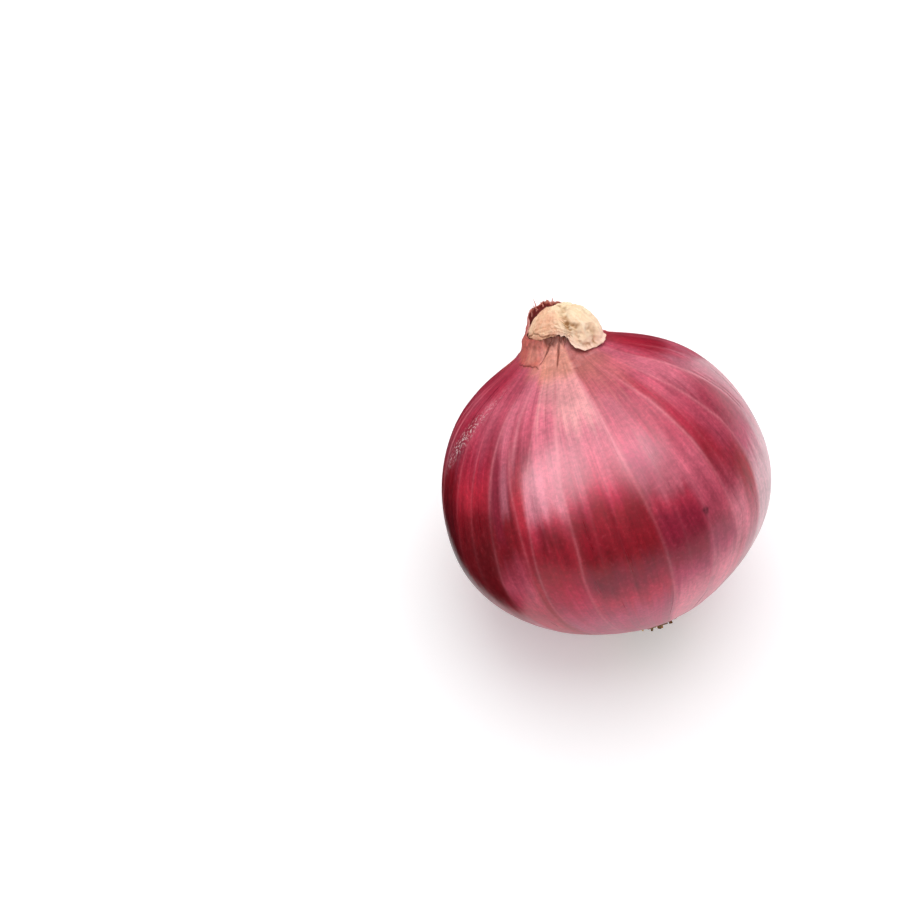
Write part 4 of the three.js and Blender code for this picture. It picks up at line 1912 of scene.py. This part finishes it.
@dataclass
class RootPlate:
    """The root plate: a low, dark dome set into the root end, with curled hollow stubs of dry roots."""

    ground: Ground
    crest: float = 0.8
    sunk: float = 0.8
    overlap: float = 0.15
    plate_columns: int = 144
    plate_rows: int = 40
    stubs: int = 120
    sides: int = 10
    steps: int = 8
    bore: float = 0.62
    golden_angle: float = 137.508
    long_side: float = -100.0

    BORE_SHADE = (0.3, 0.8, 1.0, 1.0)

    def place(self, points: Array) -> Array:
        """Moves points from the plate's own place to the bulb's root end, and lays them down with it.

        Args:
            points: Points about the plate's middle, in millimetres.

        Returns:
            The same points in the row frame, in metres.
        """
        form = self.ground.form
        height = form.body_height(np.array(form.level_at(form.plate_radius, End.ROOT)))
        return self.ground.put(points + np.array([*form.plate_shift, float(height)]))

    def plate(self) -> bpy.types.Object:
        """Builds the plate's dome.

        Returns:
            The piece.
        """
        form = self.ground.form
        angle = ring_angles(self.plate_columns)
        share = np.linspace(0.0, 1.0, self.plate_rows)[:, None]
        radius = (form.plate_radius + self.overlap) * share + 0.0 * angle
        bumps = 0.25 * Noise(81).plane(*(radius * part * 1.6 + 9.0 for part in circle(angle)))
        height = -self.crest * (1.0 - share**2) + bumps * (1.0 - share**4)
        dome = form.local(angle + 0.0 * radius, radius, height)
        skirt = form.local(angle, form.plate_radius + 0.0 * angle, self.sunk + 0.0 * angle)
        points = np.concatenate([dome, skirt[None]])
        rust = np.clip(0.5 + 2 * bumps, 0, 0.6)
        values = {"shade": np.full(points.shape[:2], 0.75), "rust": np.concatenate([rust, rust[-1:]])}
        faces = grid_faces(len(points), self.plate_columns)[:, ::-1]
        piece = make_mesh("root_plate_dome", self.place(points), faces, values)
        return dress(piece, Node.ROOTS, RootFinish().material())

    def stub(self, index: int, draw: np.random.Generator) -> tuple[Array, Array]:
        """One curled, hollow root stub.

        Args:
            index: Its number, from the middle of the plate outwards.
            draw: Where its chances come from.

        Returns:
            Its rings of points, and how shaded each ring is.
        """
        reach = self.ground.form.plate_radius - 0.35
        distance = reach * math.sqrt((index + 0.5) / self.stubs)
        out = distance / reach
        turn = math.radians(index * self.golden_angle)
        facing = max(0.0, math.cos(turn - math.radians(self.long_side)))
        length = float(draw.uniform(0.9, 1.7)) * (1.0 - 0.55 * out**2 + 0.5 * out * facing**2)
        thick = float(draw.uniform(0.22, 0.5))
        lean = math.radians(60.0 * out**1.5 + float(draw.uniform(-28.0, 28.0)))
        side = turn + float(draw.uniform(-1.2, 1.2))
        along = np.linspace(0.0, 1.0, self.steps)
        bend = lean + float(draw.uniform(-1.1, 1.4)) * along
        middle, ahead = self.stub_line(bend, side, length, self.crest * (out**2 - 1.0) + 0.25)
        middle[:, :2] += distance * np.array([math.cos(turn), math.sin(turn)])
        first = np.array([-math.sin(side), math.cos(side), 0.0]) + 0.0 * ahead
        second = np.cross(ahead, first)
        round_angle = np.arange(self.sides) * (2 * math.pi / self.sides)
        squash = float(draw.uniform(0.55, 1.0))
        wobble = 1.0 + draw.uniform(-0.12, 0.12, (self.steps, self.sides))
        flare = thick * (1.1 - 0.35 * along + 0.25 * along**4)[:, None] * wobble
        ring = flare[..., None] * np.cos(round_angle)[None, :, None] * first[:, None]
        ring = ring + squash * flare[..., None] * np.sin(round_angle)[None, :, None] * second[:, None]
        outer = middle[:, None] + ring
        inner = (middle[:, None] + self.bore * ring)[::-1][: len(self.BORE_SHADE)]
        # Painted shade, dark brown, on the outer stubs of the long side, at the plate's edge.
        shaded_edge = 0.75 * ease(out * facing, 0.5, 0.85)
        shade = np.maximum(0.85 * ease(along, 0.4, 0.0), shaded_edge)
        return np.concatenate([outer, inner]), np.concatenate([shade, self.BORE_SHADE])

    def stub_line(self, bend: Array, side: float, length: float, start: float) -> tuple[Array, Array]:
        """The middle line of a stub that springs from the plate's middle.

        Args:
            bend: How far it leans at each step, in radians.
            side: The way that it leans, in radians.
            length: Its length, in millimetres.
            start: The height that it springs from.

        Returns:
            Its points, and its direction at each.
        """
        away = np.cumsum(np.sin(bend)) * length / self.steps
        down = -np.cumsum(np.cos(bend)) * length / self.steps
        out = np.sin(bend)
        middle = np.stack([away * math.cos(side), away * math.sin(side), down + start], -1)
        return middle, np.stack([out * math.cos(side), out * math.sin(side), -np.cos(bend)], -1)

    def roots(self) -> bpy.types.Object:
        """Builds every stub as one piece.

        Returns:
            The piece.
        """
        draw = np.random.default_rng(7)
        points, faces, shades, rusts = [], [], [], []
        first = 0
        for index in range(self.stubs):
            rings, shade = self.stub(index, draw)
            rust = float(draw.random() < 0.2) * float(draw.uniform(0.4, 0.9))
            faces.append(grid_faces(len(rings), self.sides, first))
            points.append(rings.reshape(-1, 3))
            shades.append(np.repeat(shade, self.sides))
            rusts.append(np.full(rings.shape[0] * self.sides, rust))
            first += len(points[-1])
        values = {"shade": np.concatenate(shades), "rust": np.concatenate(rusts)}
        piece = make_mesh("dry_root_stubs", self.place(np.concatenate(points)), np.concatenate(faces), values)
        return dress(piece, Node.ROOTS, RootFinish().material())


# ---- The studio --------------------------------------------------------------------------------------


@dataclass(frozen=True)
class Window:
    """A soft rectangular light that the skin mirrors, at a place on the sky seen from the onion."""

    name: str
    azimuth: float
    elevation: float
    size: tuple[float, float]
    level: float
    lights: bool = False


@dataclass
class Studio:
    """A pale floor, soft lamps, dark flags low all round for the skin to mirror, and the camera."""

    ground: Ground
    azimuth: float = -26.62
    elevation: float = 56.0
    distance: float = 0.386
    right_of_middle: float = 0.02915
    above_middle: float = -0.01054
    lamp_distance: float = 0.8
    flag_radius: float = 1.4
    flag_top: float = 52.0
    flag_level: float = 0.03
    side_flag_ends: tuple[float, float] = (-58.0, -240.0)
    side_flag_shade: Rgb = (0.09, 0.004, 0.012)

    SIDE_FLAG = ((0.034, 0.001), (0.05, 0.006), (0.065, 0.02), (0.085, 0.05))

    WINDOWS = (
        Window("overhead", 150.0, 74.0, (0.9, 0.9), 1.7, True),
        Window("left_window", -82.0, 50.0, (0.62, 0.5), 6.0),
        Window("right_window", 31.0, 66.0, (0.5, 0.4), 4.5),
        Window("front_sky", -26.0, 72.0, (0.7, 0.5), 2.0),
    )

    def back(self, azimuth: float, elevation: float) -> Vector:
        """The direction from the onion towards a place on the sky."""
        a, e = math.radians(azimuth), math.radians(elevation)
        return Vector((math.sin(a) * math.cos(e), -math.cos(a) * math.cos(e), math.sin(e)))

    def camera(self) -> None:
        """Sets the camera up."""
        data = bpy.data.cameras.new("camera")
        data.lens = 85.0
        data.sensor_width = 36.0
        camera = bpy.data.objects.new("camera", data)
        bpy.context.scene.collection.objects.link(camera)
        turn = (-self.back(self.azimuth, self.elevation)).to_track_quat("-Z", "Y")
        camera.rotation_mode = "QUATERNION"
        camera.rotation_quaternion = turn
        seen = turn @ Vector((self.right_of_middle, self.above_middle, -self.distance))
        camera.location = Vector(self.ground.origin * MM) - seen
        bpy.context.scene.camera = camera

    def lamp(self, window: Window) -> None:
        """Hangs a lamp that faces the onion.

        Args:
            window: Where, how large and how bright it is.
        """
        data = bpy.data.lights.new(window.name, "AREA")
        data.shape = "RECTANGLE"
        data.size, data.size_y = window.size
        data.energy = window.level * math.pi * window.size[0] * window.size[1]
        lamp = bpy.data.objects.new(window.name, data)
        bpy.context.scene.collection.objects.link(lamp)
        towards = self.back(window.azimuth, window.elevation)
        lamp.location = towards * self.lamp_distance + Vector((0, 0, 0.025))
        lamp.rotation_mode = "QUATERNION"
        lamp.rotation_quaternion = (-towards).to_track_quat("-Z", "Y")
        lamp.visible_camera = False
        lamp.visible_diffuse = window.lights

    def shown(self, tree: bpy.types.NodeTree, value: float, other: float) -> Socket:
        """A number that what is seen, mirrored or seen through has, and another that everything else has.

        Args:
            tree: The material's or world's nodes.
            value: The number for what is seen.
            other: The number for the light that it throws.

        Returns:
            The number.
        """
        path = tree.nodes.new("ShaderNodeLightPath")
        seen = path.outputs["Is Camera Ray"]
        for kind in ("Is Glossy Ray", "Is Transmission Ray"):
            either = tree.nodes.new("ShaderNodeMath")
            either.operation = "MAXIMUM"
            tree.links.new(seen, either.inputs[0])
            tree.links.new(path.outputs[kind], either.inputs[1])
            seen = either.outputs[0]
        strength = tree.nodes.new("ShaderNodeMapRange")
        tree.links.new(seen, strength.inputs[0])
        strength.inputs[3].default_value = other
        strength.inputs[4].default_value = value
        return strength.outputs[0]

    def floor(self) -> None:
        """Lays the pale floor, which looks a little paler than the light that it throws."""
        half = 6.0
        corners = np.array([[-half, -half, 0], [half, -half, 0], [half, half, 0], [-half, half, 0]], float)
        floor = make_mesh("floor", corners, np.array([[0, 1, 2, 3]]))
        s = Shader("floor")
        s.set("Base Color", colour(245, 245, 246))
        s.set("Roughness", 0.9)
        s.set("Specular IOR Level", 0.1)
        s.set("Emission Color", (1.0, 1.0, 1.0))
        away = s.node("ShaderNodeVectorMath", operation="LENGTH")
        s.feed(away.inputs[0], s.place())
        glow = s.spread(away.outputs["Value"], 0.1, 0.8, 0.25, 0.5)
        s.set("Emission Strength", s.sum("MULTIPLY", self.shown(s.tree, 1.0, 0.0), glow))
        floor.data.materials.append(s.material)

    def flags(self) -> None:
        """Stands flags for the skin to mirror: dark ones low all round, and dark red ones near two sides."""
        top = self.flag_radius * math.tan(math.radians(self.flag_top))
        far = (self.flag_radius, 0.001), (self.flag_radius, top)
        self.flag("low_flags", far, (-180.0, 180.0), (self.flag_level,) * 3)
        self.flag("side_flags", self.SIDE_FLAG, self.side_flag_ends, self.side_flag_shade)

    def flag(self, name: str, section: Line, ends: tuple[float, float], shade: Rgb) -> None:
        """Stands a curved flag round the onion, which only its gloss sees.

        Args:
            name: The flag's name.
            section: Pairs of a distance from the onion and a height, in metres.
            ends: The azimuths that it runs between.
            shade: Its colour.
        """
        columns = 96
        angle = np.radians(np.linspace(*ends, columns + 1))
        radius, height = (np.array(part)[:, None] for part in zip(*section))
        points = np.stack([radius * np.sin(angle), -radius * np.cos(angle), height + 0.0 * angle], -1)
        row, column = np.meshgrid(np.arange(len(section) - 1), np.arange(columns), indexing="ij")
        first = row * (columns + 1) + column
        above = first + columns + 1
        faces = np.stack([first, first + 1, above + 1, above], -1).reshape(-1, 4)
        flag = make_mesh(name, points, faces)
        s = Shader(name)
        s.set("Base Color", shade)
        s.set("Roughness", 1.0)
        s.set("Specular IOR Level", 0.0)
        flag.data.materials.append(s.material)
        flag.visible_camera = False
        flag.visible_diffuse = False
        flag.visible_shadow = False

    def world(self) -> None:
        """Makes the white surroundings, which light the onion less than they show."""
        world = bpy.data.worlds.new("surroundings")
        bpy.context.scene.world = world
        world.use_nodes = True
        background = world.node_tree.nodes["Background"]
        background.inputs["Color"].default_value = (1.0, 1.0, 1.0, 1.0)
        world.node_tree.links.new(self.shown(world.node_tree, 1.0, 0.6), background.inputs["Strength"])

    def build(self) -> None:
        """Builds the studio."""
        bpy.context.scene.view_settings.view_transform = "Standard"
        self.camera()
        self.floor()
        self.flags()
        self.world()
        for window in self.WINDOWS:
            self.lamp(window)


def main() -> None:
    """Builds the onion and the studio, and reports each piece."""
    logging.basicConfig(level=logging.INFO, format="%(name)s: %(message)s")
    ground = Ground(BulbForm())
    Studio(ground).build()
    marks = SkinMarks(ground.form)
    roots = RootPlate(ground)
    makers: tuple[Callable[[], bpy.types.Object], ...] = (
        Skin(ground, marks).build,
        Collar(ground, marks).build,
        Shreds(ground).build,
        DriedLeaf(ground).build,
        roots.plate,
        roots.roots,
    )
    for make in makers:
        piece = make()
        LOG.info("%s: %d faces", piece.name, len(piece.data.polygons))


if __name__ == "__main__":
    main()
